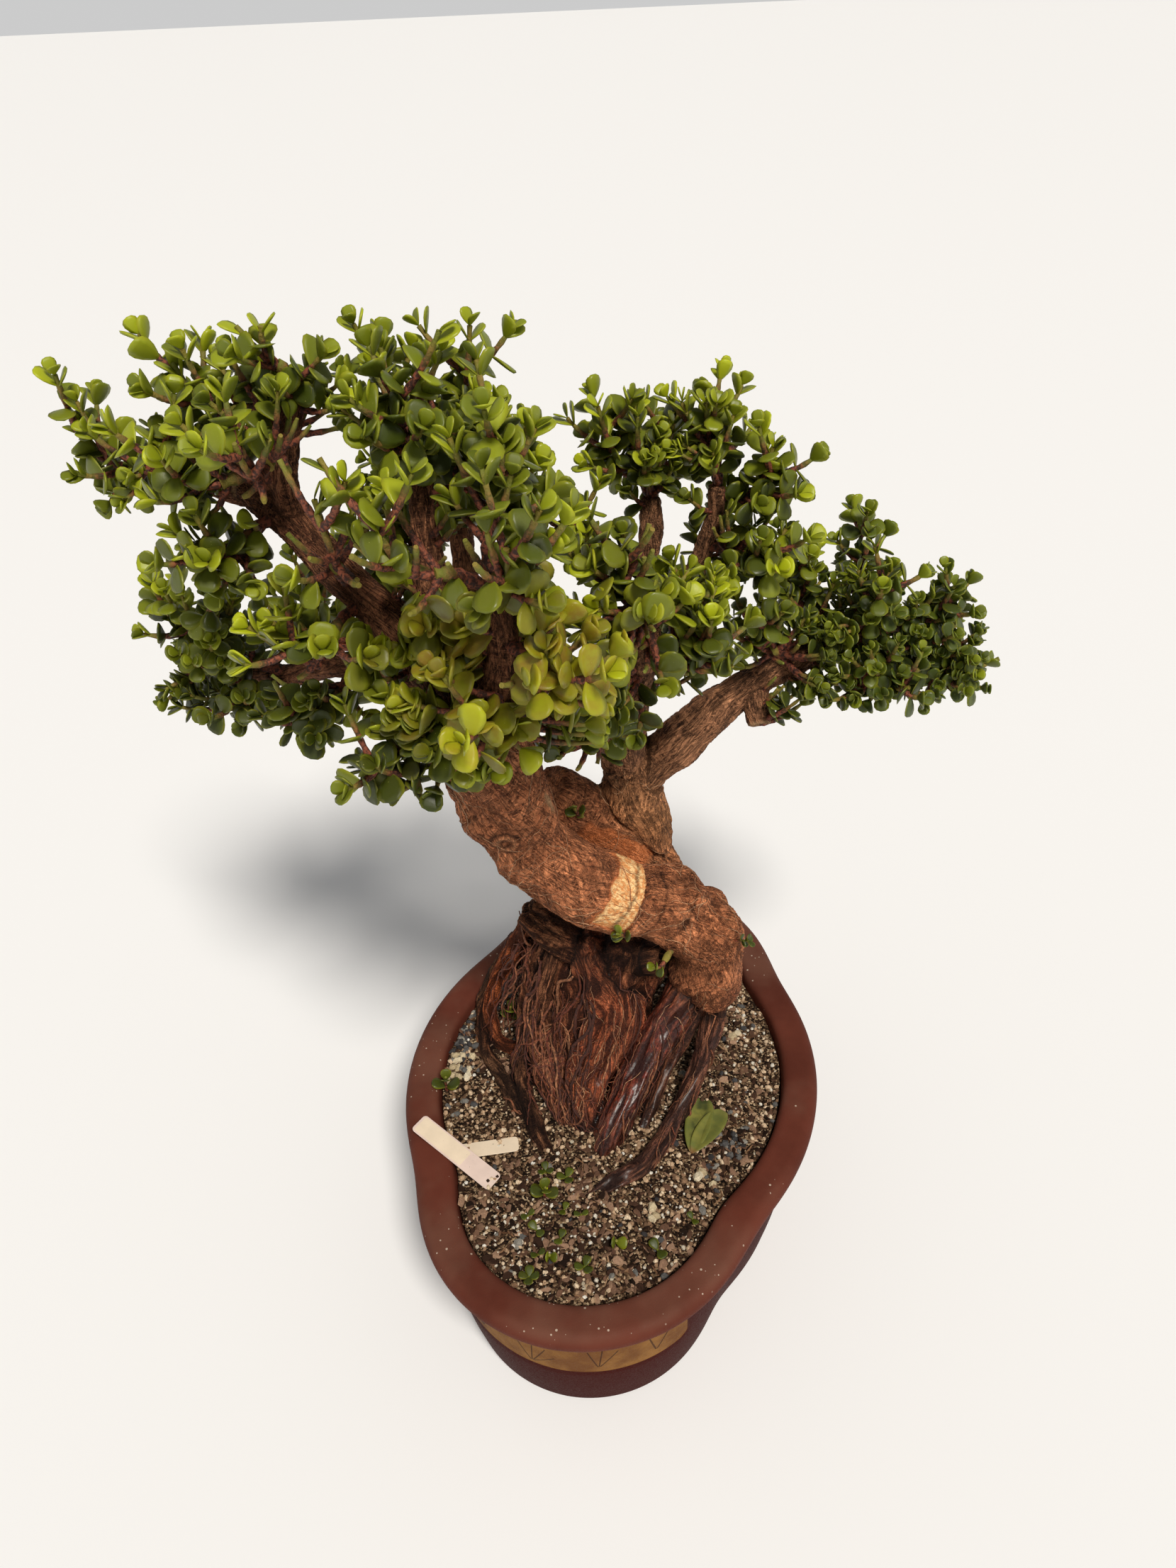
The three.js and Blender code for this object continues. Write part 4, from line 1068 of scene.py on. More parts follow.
def fillTwigs(owner, zone, seed):  # twigs that reach from the nearest wood into an open part of the crown
    centre, reach, count, leafLength = zone
    roll = dice(seed)
    wood = crowd.spheres[:crowd.count][crowd.owner[:crowd.count] == woodOwner]
    wood = wood[wood[:, 2] > fillPlan["lowest"]]
    twigs, leaves = [], []
    for _ in range(4 * count):
        if len(twigs) == count:
            break
        way = Vector([roll() - 0.5 for _ in range(3)]).normalized() * (0.35 + 0.65 * roll())
        tip = Vector([c + r * w for c, r, w in zip(centre, reach, way)])
        gap = np.linalg.norm(wood[:, :3] - np.array(tip) + (0, 0, 12), axis=1)
        foot = Vector(wood[gap.argmin(), :3])
        stretch = tip - foot
        if stretch.length < fillPlan["nearest"] or stretch.length > fillPlan["farthest"]:
            continue
        if not insideBox(tip, 8) or not crowd.isFree(owner, [(tip, 5)], 1.0):
            continue
        middle = foot + stretch * 0.5 + (way * 0.3 - upward * fillPlan["lift"]) * stretch.length * 0.4
        line = bowed(foot, middle, tip)
        short, long = fillPlan["length"]
        leafy = min(0.85, (short + (long - short) * roll()) * sizeAt(tip) / stretch.length)
        top = lambda t, line=line, leafy=leafy: line(1 - leafy + leafy * t)
        twigs.append((line, fillPlan["radius"] + fillPlan["thicken"] * stretch.length, *fillPlan["end"]))
        leaves += leavesOnTwig(owner, top, roll, fillPlan, leafLength)
    return twigs, leaves


def leafMood(leaf):  # how warm or cool a leaf is, by its place in the crown
    place = leaf["root"]
    offset = ((place.x + 20) / 90) ** 2 + ((place.y + 110) / 70) ** 2 + ((place.z - 570) / 60) ** 2
    # the front zone is partly the bronze tint of the front leaves and partly painted light: it lies on the
    # crown's shaded middle and makes those leaves lighter
    front = math.exp(-offset)
    rear = min(max((place.x - 60) / 120, 0), 1)
    top = min(max((place.z - 590) / 90, 0), 1)
    return front - 0.8 * rear - 0.6 * top


def ageAndLightAt(leaf):  # leaves low in front are older; leaves in the warm front zone are painted younger and lighter, painted light on the crown's shaded middle
    low = min(max((530 - leaf["root"].z) / 40, 0), 1)
    return leaf["age"] - 0.2 * max(leafMood(leaf), 0) + 0.3 * low


def coverOver(leaves):  # how much foliage lies over each leaf, from 0 to 1, for the painted shade under it
    leafy = crowd.spheres[:crowd.count][crowd.owner[:crowd.count] != woodOwner][:, :3]
    cover = []
    for leaf in leaves:
        above = np.array(leaf["root"] + Vector(coverPlan["ahead"]))
        cover.append((((leafy - above) ** 2).sum(1) < coverPlan["reach"] ** 2).sum())
    return np.clip(np.array(cover) / coverPlan["full"], 0, 1)


def plantMesh(name, twigs, leaves, seed):  # twigs are (line, radius at foot, radius at tip, green at foot)
    roll = dice(seed)
    points, edges = [], []
    plain = {"isLeaf": 0, "isTwig": 0, "thick": 0, "green": 0, "tone": 0, "age": 0, "warm": 0, "cover": 0,
             "direction": (1, 0, 0), "face": (0, 0, 1), "size": (1, 1, 1)}
    values = {key: [] for key in plain}

    def put(place, **given):
        points.append(place)
        for key, value in plain.items():
            values[key].append(given.get(key, value))
    for line, foot, tip, green in twigs:
        steps = max(3, round(lengthOf(line, 12) / 4))
        for i in range(steps + 1):
            t = i / steps
            knot = 1 + 0.3 * (i % 2)
            put(line(t), isTwig=1, thick=(foot + (tip - foot) * t) * knot * mm, green=green + (1 - green) * t,
                tone=roll())
            if i:
                edges.append((len(points) - 2, len(points) - 1))
    for leaf in leaves:
        size = leaf["length"] * mm
        put(leaf["root"], isLeaf=1, direction=leaf["direction"], face=leaf["face"],
            size=(size, size * (0.9 + 0.2 * roll()), size * (0.9 + 0.3 * roll())), tone=roll(),
            age=ageAndLightAt(leaf), cover=leaf["cover"], warm=leafMood(leaf) + (roll() - 0.5) * 0.5)
    return makeObject(name, points, edges=edges, attributes=values)


def makeLeafFinish():
    material, tree, shader = startMaterial("succulent leaf", Specular_IOR_Level=0.38,
                                           Subsurface_Weight=0.06, Subsurface_Scale=0.004,
                                           Subsurface_Radius=(0.5, 1.0, 0.1))
    tone, age, warm, cover = (readAttribute(tree, name) for name in ("tone", "age", "warm", "cover"))
    place = objectPlace(tree)
    leafPlace = split(readAttribute(tree, "leafPlace", "Vector"))
    grown = plus(age, times(minus(tone, 0.5), 0.5))
    # painted shade under the foliage above, partly the darker green of shaded leaves: covered leaves take
    # older, darker greens
    grown = plus(grown, times(cover, 0.25))
    green = colourRamp(grown, [
        (0.0, colour(176, 184, 28)), (0.22, colour(144, 152, 26)), (0.5, colour(110, 118, 20)),
        (0.8, colour(82, 90, 16)), (1.0, colour(58, 66, 12))])
    patches = mottled(place, 110.0, 0.14)
    bronze = mixColour(patches, colour(156, 146, 26), colour(146, 104, 24))
    warmShare = times(spread(warm, 0.1, 1.1), 0.7)
    base = mixColour(warmShare, green, bronze)
    base = mixColour(spread(warm, -0.1, -1.1, 0.0, 0.5), base, colour(72, 88, 24))
    # painted highlight along the leaf's rounded rim
    edge = spread(compute("ABSOLUTE", leafPlace[0]), 0.62, 1.0)
    base = mixColour(times(edge, 0.35), base, colour(182, 180, 50))
    base = mixColour(spread(leafPlace[1], 0.18, 0.0, 0.0, 0.5), base, colour(150, 156, 50))
    dots = speckled(place, 700.0, 0.25, 0.1)
    base = mixColour(times(dots, 0.5), base, colour(186, 182, 100))
    # painted shade: a dark sheet over leaves under foliage
    base = mixColour(times(cover, 0.1), base, colour(24, 26, 6))
    fine = mottled(place, 900.0, 0.3)
    connect(shader, Base_Color=base, Roughness=spread(patches, 0, 1, 0.36, 0.55),
            Normal=bump(fine, 0.12, 0.2 * mm))
    return material


def makeTwigFinish():
    material, tree, shader = startMaterial("young twig", Roughness=0.7)
    green, tone = readAttribute(tree, "green"), readAttribute(tree, "tone")
    flakes = mottled(objectPlace(tree), 420.0, 0.1)
    old = mixColour(flakes, colour(52, 24, 16), colour(138, 74, 50))
    young = mixColour(tone, colour(138, 118, 44), colour(108, 118, 34))
    base = mixColour(spread(green, 0.6, 0.95), old, young)
    connect(shader, Base_Color=base, Normal=bump(flakes, 0.6, 0.5 * mm))
    return material


leafFinish, twigFinish = makeLeafFinish(), makeTwigFinish()
leafShape = makeLeaf()
leafyTree = makeLeafyTree()
leafCount = 0


def growFull(obj, leafLook, twigLook, sides):  # puts leaves on the points and tubes along the edges
    runTree(obj, leafyTree, {
        "Leaf": leafShape, "Leaf finish": leafLook, "Twig finish": twigLook, "Twig sides": sides})


def dressSpray(name, nodes, twigs, leaves, seed):
    obj = plantMesh(name, twigs, leaves, seed)
    growFull(obj, leafFinish, twigFinish, 6)
    return finishPiece(obj, None, nodes)


crownSeats = plantBranches(crown, crownSpray)
shootSeats = plantBranches(trunkShoots, trunkShoot)
grownSprays = []
for seats, label, firstSeed in ((crownSeats, "spray_{:02d}", seeds["crown"]),
                                (shootSeats, "trunk_shoot_{}", seeds["shoots"])):
    for index, seat in enumerate(seats):
        heading = headingOf(seat["branch"], 1)
        start = seat["branch"](1) + heading * clearance
        owner = len(grownSprays)
        spray = growSpray(owner, start, heading, seat["tip"], firstSeed + seeds["step"] * index, seat["plan"])
        grownSprays.append((label.format(index + 1), spray, seat))

# Cuttings and seedlings in the soil: [x, y, height, leaf length, leaf pairs].
soilPlants = {
    "cutting_left": [-127, -43, 20, 13, 2],
    "cutting_front": [-28, -122, 16, 12, 2],
    "cutting_rear": [-94, 36, 20, 12, 2],
    "seedling_front": [29, -150, 8, 11, 1],
    "seedling_edge": [-15, -168, 8, 10, 1],
}
plantStem = {"radius": 1.6, "depth": 8}
soilPlan = {"edge": 125.5, "crown": 4, "grit": 1.1, "rings": 80, "segments": 220, "foot": 13,
            "lumps": [[7, 0.7], [3, 0.4]]}


def soilHeight(x, y):
    mound = soilPlan["crown"] * math.exp(-((x + 20) ** 2 / 9000 + (y - 20) ** 2 / 16000))
    lumps = math.sin(0.21 * x + 1.3) * math.sin(0.17 * y) + 0.7 * math.sin(0.083 * x - 0.11 * y)
    return soilPlan["edge"] + mound + soilPlan["grit"] * lumps


for index, (name, (x, y, height, leaf, pairs)) in enumerate(soilPlants.items()):
    level = soilHeight(x, y)
    plan = {"leaf": leaf, "pairs": pairs, "stemRadius": plantStem["radius"]}
    start, tip = Vector((x, y, level + 1)), Vector((x + 2, y - 2, level + height))
    spray = growSpray(len(grownSprays), start, upward, tip, seeds["soil"] + seeds["step"] * index, plan)
    grownSprays.append((name, spray, None))

leafyPlants = []  # name, replaced nodes, twigs, leaves and seed
for owner, (name, spray, seat) in enumerate(grownSprays):
    line, plan = spray["line"], spray["plan"]
    leaves = list(spray["leaves"])
    twigs = [(line, plan["stemRadius"] * 0.8, plan["stemRadius"] * 0.5, 0.2)]
    if name.startswith("spray"):
        size = sizeAt(seat["tip"])
        for leaf in leaves:
            leaf["length"] *= size
        seed = twigPlan["seed"] + twigPlan["step"] * owner
        extra, more = sideTwigs(owner, spray, seat["branch"], plan["leaf"], seed)
        twigs += [(twig, *twigPlan["thick"], 0.2) for twig in extra]
        leaves += more
    else:
        for leaf in leaves:
            leaf["age"] += olderShare
    leafyPlants.append((name + "_leaves", [name], twigs, leaves, seeds["sprayLeaves"] + owner))
for number, (name, zone) in enumerate(crownFills.items()):
    twigs, leaves = fillTwigs(fillPlan["owner"] + number, zone, fillPlan["seed"] + fillPlan["step"] * number)
    leafyPlants.append(("crown_" + name, [], twigs, leaves, seeds["fillLeaves"] + number))
lanes = openLines()
for name, nodes, twigs, leaves, seed in leafyPlants:
    leaves = [shortenLeaf(leaf) for leaf in leaves if not isOpen(leaf, lanes)]
    for leaf, cover in zip(leaves, coverOver(leaves)):
        leaf["cover"] = cover
    dressSpray(name, nodes, twigs, leaves, seed)
    leafCount += len(leaves)
print("leaves:", leafCount)


def buildBranches():  # the thin branches from the limbs to the sprays
    seats = crownSeats + shootSeats
    twigs = [(seat["branch"], seat["radiusAt"](0), seat["radiusAt"](1), 0.0) for seat in seats]
    branches = plantMesh("wood_branches", twigs, [], seeds["branches"])
    growFull(branches, leafFinish, twigFinish, 10)
    return finishPiece(branches, None, ["wood"])


buildBranches()
print("branches done")

# Fine roots that creep over the root mass, loose roots beside it, and fibres on the trunks' bark.
strandPlan = {"step": 3.5, "sink": 0.25, "sides": 5, "seed": 4201}
strandFields = [  # corners of the starts, how many, radii, steps, wander, and how much they head down
    [[-84, -30, 150], [-20, 60, 236], 80, [0.6, 1.6], 26, 0.7, 1],
    [[-60, -60, 126], [0, 0, 190], 60, [0.5, 1.2], 18, 1.4, 1],
    [[-20, -40, 160], [24, 30, 236], 26, [0.4, 0.9], 16, 0.5, 1],
    [[24, -70, 130], [90, 40, 215], 30, [0.4, 1.0], 18, 0.5, 1],
    [[-84, 60, 140], [80, 110, 220], 50, [0.6, 1.6], 24, 0.7, 1],
]
looseRoots = [  # corners of the starts, corners of the ends, how many, radii, and how far they bow out
    [[-78, 24, 226], [-44, 52, 252], [-112, 0, 125], [-56, 60, 125], 44, [0.4, 1.3], 22],
    [[-60, 60, 214], [40, 84, 236], [-90, 96, 124], [70, 128, 124], 24, [0.5, 1.5], 18],
]
fibrePlan = {"step": 3.0, "sink": 0.5, "sides": 3, "seed": 4801}
fibreFields = [
    [[-90, -70, 330], [-20, 10, 460], 100, [0.2, 0.4], 14, 0.8, 0],
    [[-30, -40, 262], [100, 60, 330], 70, [0.2, 0.38], 13, 0.7, 0],
    [[-30, 40, 260], [40, 96, 400], 70, [0.2, 0.38], 12, 0.8, 0],
    [[-60, -80, 130], [90, 40, 240], 110, [0.24, 0.44], 10, 0.9, 1],
]


def between(low, high, roll):
    return Vector([a + (b - a) * roll() for a, b in zip(low, high)])


def strandsOver(skins, fields, plan):  # lines of points that walk over the skins, with a radius each
    parts = [(pointsOf(skin.data).tolist(), [face.vertices for face in skin.data.polygons]) for skin in skins]
    surface = BVHTree.FromPolygons(*joinedParts(parts))
    roll = dice(plan["seed"])
    strands = []
    for low, high, count, (thin, thick), steps, wander, down in fields:
        for _ in range(count):
            place, normal = surface.find_nearest(between(low, high, roll))[:2]
            radius = thin + (thick - thin) * roll() ** 2
            turn = 6.3 * roll()
            rise = (roll() - 0.5) * (1 - down) - 1.4 * down
            heading = Vector((math.cos(turn), math.sin(turn) - 0.3 * down, rise))
            path = []
            for _ in range(steps):
                heading += Vector([(roll() - 0.5) * wander for _ in range(3)]) - upward * 0.12 * down
                heading = (heading - normal * heading.dot(normal) * 0.8).normalized()
                place, normal = surface.find_nearest(place + heading * plan["step"] + normal * 1.5)[:2]
                if place.z < soilHeight(place.x, place.y) - 2:
                    break
                path.append(place + normal * radius * (1 - plan["sink"] * 2 * roll()))
            if len(path) > 4:
                strands.append((path, radius))
    return strands


def hangRoots(fields, seed):
    roll = dice(seed)
    noise.seed_set(seed)  # the vector noise differs from run to run without it
    strands = []
    for low, high, endLow, endHigh, count, (thin, thick), bow in fields:
        for _ in range(count):
            start, end = between(low, high, roll), between(endLow, endHigh, roll)
            aside = Vector((end.x - start.x, end.y - start.y, 0)).normalized() * bow * roll()
            line = bowed(start, start.lerp(end, 0.45) + aside + upward * bow * 0.5, end)
            drift = Vector([60 * roll() for _ in range(3)])
            path = [line(i / 24) + noise.noise_vector(line(i / 24) / 16 + drift) * 7 for i in range(25)]
            strands.append((path, thin + (thick - thin) * roll() ** 2))
    return strands


def strandMesh(name, strands, seed, tones):
    roll = dice(seed)
    points, edges, thick, tone = [], [], [], []
    for path, radius in strands:
        shade = tones[0] + (tones[1] - tones[0]) * roll()
        for i, place in enumerate(path):
            taper = 1 - 0.7 * abs(2 * i / (len(path) - 1) - 0.8) ** 2 / 1.44
            points.append(place)
            thick.append(radius * taper * (0.85 + 0.3 * roll()) * mm)
            tone.append(shade)
            if i:
                edges.append((len(points) - 2, len(points) - 1))
    kinds = {"isTwig": [1] * len(points), "isLeaf": [0] * len(points)}
    return makeObject(name, points, edges=edges, attributes={"thick": thick, "tone": tone, **kinds})


def makeStrandFinish():
    material, tree, shader = startMaterial("root fibre", Roughness=0.8)
    crumbs = mottled(objectPlace(tree), 420.0, 0.12)
    tone = readAttribute(tree, "tone")
    base = colourRamp(tone, [(0.0, colour(60, 28, 18)), (0.4, colour(112, 54, 32)),
                             (0.75, colour(158, 100, 66)), (1.0, colour(226, 176, 132))])
    base = mixColour(crumbs, mixColour(0.65, base, colour(26, 12, 8)), base)
    connect(shader, Base_Color=base, Normal=bump(crumbs, 0.6, 0.4 * mm))
    return material


strandFinish = makeStrandFinish()


def finishStrands(name, strands, seed, tones, sides):
    obj = strandMesh(name, strands, seed, tones)
    growFull(obj, strandFinish, strandFinish, sides)
    finishPiece(obj, None, ["wood"])
    print(name + ":", len(strands))


rootStrands = strandsOver([wood["roots"], wood["trunk"]], strandFields, strandPlan)
rootStrands += hangRoots(looseRoots, seeds["looseRoots"])
finishStrands("root_strands", rootStrands, seeds["rootTones"], (0, 0.8), strandPlan["sides"])
barkFibres = strandsOver(list(wood.values()), fibreFields, fibrePlan)
finishStrands("bark_fibres", barkFibres, seeds["fibreTones"], (0.7, 1), fibrePlan["sides"])

# Pot: a lobed outline lofted through a rounded profile.
potPlan = {
    "length": 457, "width": 330, "height": 135, "endRadius": 121.7, "sideRadius": 203,
    "notchSharpness": 22, "footInset": 30, "bellyInset": 15, "lipWidth": 27, "lipDepth": 16,
    "wall": 11, "floor": 11,
    "segments": 400, "roundSteps": 5,
}
drain = {"radius": 9, "offset": 105, "channelWidth": 22, "channelDepth": 4}
panelPlan = {"halfWidth": 84, "low": 60, "high": 116, "corner": 9, "depth": 0.8, "edge": 1.2}
# Plain grass tufts drawn on the panels: from x and z to x and z.
grassStrokes = [
    [-62, 66, -68, 92], [-62, 66, -60, 98], [-61, 66, -54, 88], [-22, 64, -30, 84], [-21, 64, -19, 94],
    [-20, 64, -10, 86], [-19, 64, -4, 76], [26, 68, 20, 90], [27, 68, 31, 100], [28, 68, 40, 88],
    [64, 70, 60, 92], [65, 70, 72, 88],
]
half = potPlan["width"] / 2
innerTop = half - potPlan["lipWidth"]
innerWall = half - potPlan["bellyInset"] - potPlan["wall"] - 3
innerFloor = half - potPlan["footInset"] - potPlan["wall"]


def lobeRadius(angle, inset):
    endCentre = potPlan["length"] / 2 - potPlan["endRadius"]
    sideCentre = half - potPlan["sideRadius"]
    s, c = np.abs(np.sin(angle)), np.abs(np.cos(angle))
    endRoot = (potPlan["endRadius"] - inset) ** 2 - (endCentre * c) ** 2
    sideRoot = (potPlan["sideRadius"] - inset) ** 2 - (sideCentre * s) ** 2
    end = endCentre * s + np.sqrt(np.maximum(0, endRoot))
    side = sideCentre * c + np.sqrt(sideRoot)
    k = potPlan["notchSharpness"]
    return (end ** k + side ** k) ** (1 / k)


def lobedRing(halfWidth, z, segments):
    angle = np.arange(segments) * 2 * math.pi / segments
    outer = max(halfWidth, innerWall)
    radius = lobeRadius(angle, half - outer) * halfWidth / outer
    height = z(radius * np.cos(angle), radius * np.sin(angle)) if callable(z) else np.full(segments, float(z))
    return np.stack([radius * np.cos(angle), radius * np.sin(angle), height], 1)


def roundProfile(corners):  # corners are [half width, z, rounding]
    profile = [corners[0][:2]]
    for before, (x, z, size), after in zip(corners, corners[1:], corners[2:]):
        here = np.array([x, z], float)
        ways = [np.array(other[:2], float) - here for other in (before, after)]
        reach = [min(size, np.linalg.norm(way) * 0.48) for way in ways]
        a, b = (here + way / np.linalg.norm(way) * r for way, r in zip(ways, reach))
        for i in range(potPlan["roundSteps"] + 1):
            t = i / potPlan["roundSteps"]
            profile.append(list(a * (1 - t) ** 2 + here * 2 * t * (1 - t) + b * t * t))
    return profile + [corners[-1][:2]]


def panelShare(points):  # 1 inside the panel fields of the two end lobes, and 0 outside
    x, y, z = points.T
    side = np.abs(x) - panelPlan["halfWidth"]
    low, high = panelPlan["low"] - z, z - panelPlan["high"]
    corner = panelPlan["corner"]
    inCorner = np.hypot(np.maximum(side + corner, 0), np.maximum(low + corner, 0)) - corner
    distance = np.maximum(np.where((side > -corner) & (low > -corner), inCorner, np.maximum(side, low)), high)
    onBody = (np.hypot(x, y) > innerWall) & (np.abs(y) > 100) & (z < potPlan["height"] - potPlan["lipDepth"])
    return np.clip(0.5 - distance / panelPlan["edge"], 0, 1) * onBody


def buildPot():
    foot, belly = half - potPlan["footInset"], half - potPlan["bellyInset"]
    top, lip = potPlan["height"], potPlan["height"] - potPlan["lipDepth"]
    corners = [[foot - 40, 0, 0], [foot, 0, 1.5], [foot + 4, 3, 2], [half - 19, 40, 30], [belly, 84, 30],
               [belly, lip, 3], [half - 3, lip, 1.5], [half, lip + 4, 2.5], [half, top - 5, 4],
               [half - 5, top, 4], [innerTop + 4, top, 4], [innerTop, top - 3, 3],
               [innerWall, soilPlan["edge"] - 6, 6], [innerFloor, potPlan["floor"], 6],
               [innerFloor - 40, potPlan["floor"], 0]]
    profile = roundProfile(corners)
    dense = [profile[0]]
    for a, b in zip(profile, profile[1:]):
        steps = max(1, round(math.dist(a, b) / 4))
        dense += [[a[0] + (b[0] - a[0]) * i / steps, a[1] + (b[1] - a[1]) * i / steps]
                  for i in range(1, steps + 1)]
    rings = [lobedRing(width, z, potPlan["segments"]) for width, z in dense]
    points, faces = loft(rings, (0, 0, 0), (0, 0, potPlan["floor"]))
    points = np.array(points)
    outward = points[:, :2] / np.maximum(np.linalg.norm(points[:, :2], axis=1), 1)[:, None]
    outside = np.arange(len(points)) < len(points) // 2
    points[:, :2] -= outward * (panelShare(points) * outside * panelPlan["depth"])[:, None]
    pot = makeRound("pot_clay", points, faces)
    wide, across = potPlan["width"], drain["channelWidth"] / 2
    for y in (-drain["offset"], drain["offset"]):
        hole = [(drain["radius"] * math.cos(a), drain["radius"] * math.sin(a) + y)
                for a in np.arange(48) * 2 * math.pi / 48]
        channel = [(-wide, y - across), (wide, y - across), (wide, y + across), (-wide, y + across)]
        cutAway(pot, hole, y, 20)
        cutAway(pot, channel, y, drain["channelDepth"])
    pot.data.set_sharp_from_angle(angle=math.radians(50))
    return pot


def cutAway(obj, outline, middle, top, bottom=-20):  # takes an upright prism out of an object
    points, faces = loft([[(x, y, z) for x, y in outline] for z in (bottom, top)],
                         (0, middle, bottom), (0, middle, top))
    cutter = makeObject("cutter", points, faces=faces)
    faceOutward(cutter.data)
    cut = obj.modifiers.new("cut", "BOOLEAN")
    cut.operation = "DIFFERENCE"
    cut.solver = "EXACT"
    cut.object = cutter
    applyModifiers(obj)
    bpy.data.objects.remove(cutter)


def strokeMask(place, fromX, fromZ, toX, toZ):  # 1 on a thin drawn line, and 0 off it
    start, end = Vector((fromX, 0, fromZ)) * mm, Vector((toX, 0, toZ)) * mm
    along = (end - start).normalized()
    away = []
    for way in (along, along.cross(Vector((0, 1, 0)))):
        reached = addNode(treeOf(place), "ShaderNodeVectorMath", {0: place, 1: way},
                          operation="DOT_PRODUCT").outputs[1]
        away.append(compute("ABSOLUTE", minus(reached, (start + end).dot(way) / 2)))
    beyond = minus(away[0], (end - start).length / 2)
    return spread(largest(beyond, away[1]), 0.7 * mm, 0.3 * mm)


def makeClay():
    material, tree, shader = startMaterial("unglazed clay", Specular_IOR_Level=0.05)
    place = objectPlace(tree)
    parts = split(place)
    patches = mottled(place, 14.0, 0.2)
    fine = mottled(place, 900.0, 0.25)
    base = mixColour(patches, colour(82, 41, 31), colour(100, 52, 40))
    # painted shade: the body under the lip is painted darker, fully so below 90 mm
    low = spread(parts[2], 0.118, 0.09)
    base = mixColour(times(low, 0.95), base, colour(56, 10, 5))
    film = mottled(place, 9.0, 0.12)
    dust = speckled(place, 330.0, 0.34, times(film, 0.35))
    topward = spread(parts[2], 0.128, 0.1345)
    base = mixColour(times(film, times(topward, 0.35)), base, colour(122, 92, 76))
    base = mixColour(times(dust, times(topward, 0.8)), base, colour(196, 178, 160))
    panelX = minus(compute("ABSOLUTE", parts[0]), panelPlan["halfWidth"] * mm)
    panelLow = minus(panelPlan["low"] * mm, parts[2])
    panelHigh = minus(parts[2], panelPlan["high"] * mm)
    corner = panelPlan["corner"] * mm
    outX = largest(plus(panelX, corner), 0.0)
    outZ = largest(plus(panelLow, corner), 0.0)
    length = compute("SQRT", plus(compute("POWER", outX, 2.0), compute("POWER", outZ, 2.0)))
    distance = largest(minus(length, corner), panelHigh)
    inside = spread(distance, 0.0003, -0.0006)
    onEnds = spread(compute("ABSOLUTE", parts[1]), 0.135, 0.14)
    panelMask = times(inside, onEnds)
    stains = mottled(place, 45.0, 0.18)
    ochre = mixColour(stains, colour(138, 98, 52), colour(106, 68, 36))
    strokes = 0.0
    for stroke in grassStrokes:
        strokes = largest(strokes, strokeMask(place, *stroke))
    ochre = mixColour(times(strokes, 0.8), ochre, colour(52, 30, 20))
    base = mixColour(panelMask, base, ochre)
    connect(shader, Base_Color=base, Roughness=spread(fine, 0, 1, 0.5, 0.72),
            Normal=bump(fine, 0.25, 0.3 * mm))
    return material


clay = makeClay()
finishPiece(buildPot(), clay, ["pot"])
print("pot done")

# Soil: a lumpy bed, with loose grains of several kinds laid on it.

def buildSoil():
    wallTop = innerWall - clearance
    segments, rings = soilPlan["segments"], soilPlan["rings"]
    surface = np.vectorize(soilHeight)
    body = [lobedRing(innerFloor - 25, soilPlan["foot"], segments),
            lobedRing(innerFloor - clearance, soilPlan["foot"], segments),
            lobedRing(wallTop - 1, 60, segments), lobedRing(wallTop, soilPlan["edge"] - 6, segments)]
    body += [lobedRing(wallTop * ring / rings, surface, segments) for ring in range(rings, 0, -1)]
    points, faces = loft(body, (0, 0, soilPlan["foot"]), (0, 0, soilHeight(0, 0)))
    points = np.array(points)
    top = points[:, 2] > soilPlan["edge"] - 5
    for size, height in soilPlan["lumps"]:
        points[top, 2] += height * noiseAt(points[top], size)
    return makeRound("soil_bed", points, faces)


def makeSoilFinish():
    material, tree, shader = startMaterial("grit bed", Roughness=0.95, Specular_IOR_Level=0.1)
    place = objectPlace(tree)
    cells = addNode(tree, "ShaderNodeTexVoronoi", {"Vector": place, "Scale": 700.0})
    chance = split(cells.outputs["Color"])
    base = colourRamp(chance[0], [
        (0.0, colour(16, 10, 7)), (0.35, colour(40, 27, 19)), (0.62, colour(76, 56, 40)),
        (0.85, colour(132, 108, 82)), (1.0, colour(186, 164, 132))])
    height = minus(1.0, times(cells.outputs["Distance"], 1.2))
    connect(shader, Base_Color=base, Normal=bump(height, 0.8, 1.0 * mm))
    return material


finishPiece(buildSoil(), makeSoilFinish(), ["soil"])
print("soil done")

# Loose grains on the soil: a share of the area for each kind, and how the grains look.
labelPlan = {  # length, width and the places of the two ends, as the solids have them
    "label_long": {"length": 77, "width": 16, "from": [-135, -86, 142.1], "to": [-65, -119, 126.8]},
    "label_short": {"length": 46, "width": 13, "from": [-101, -97, 127.2], "to": [-56, -82, 127.9]},
}
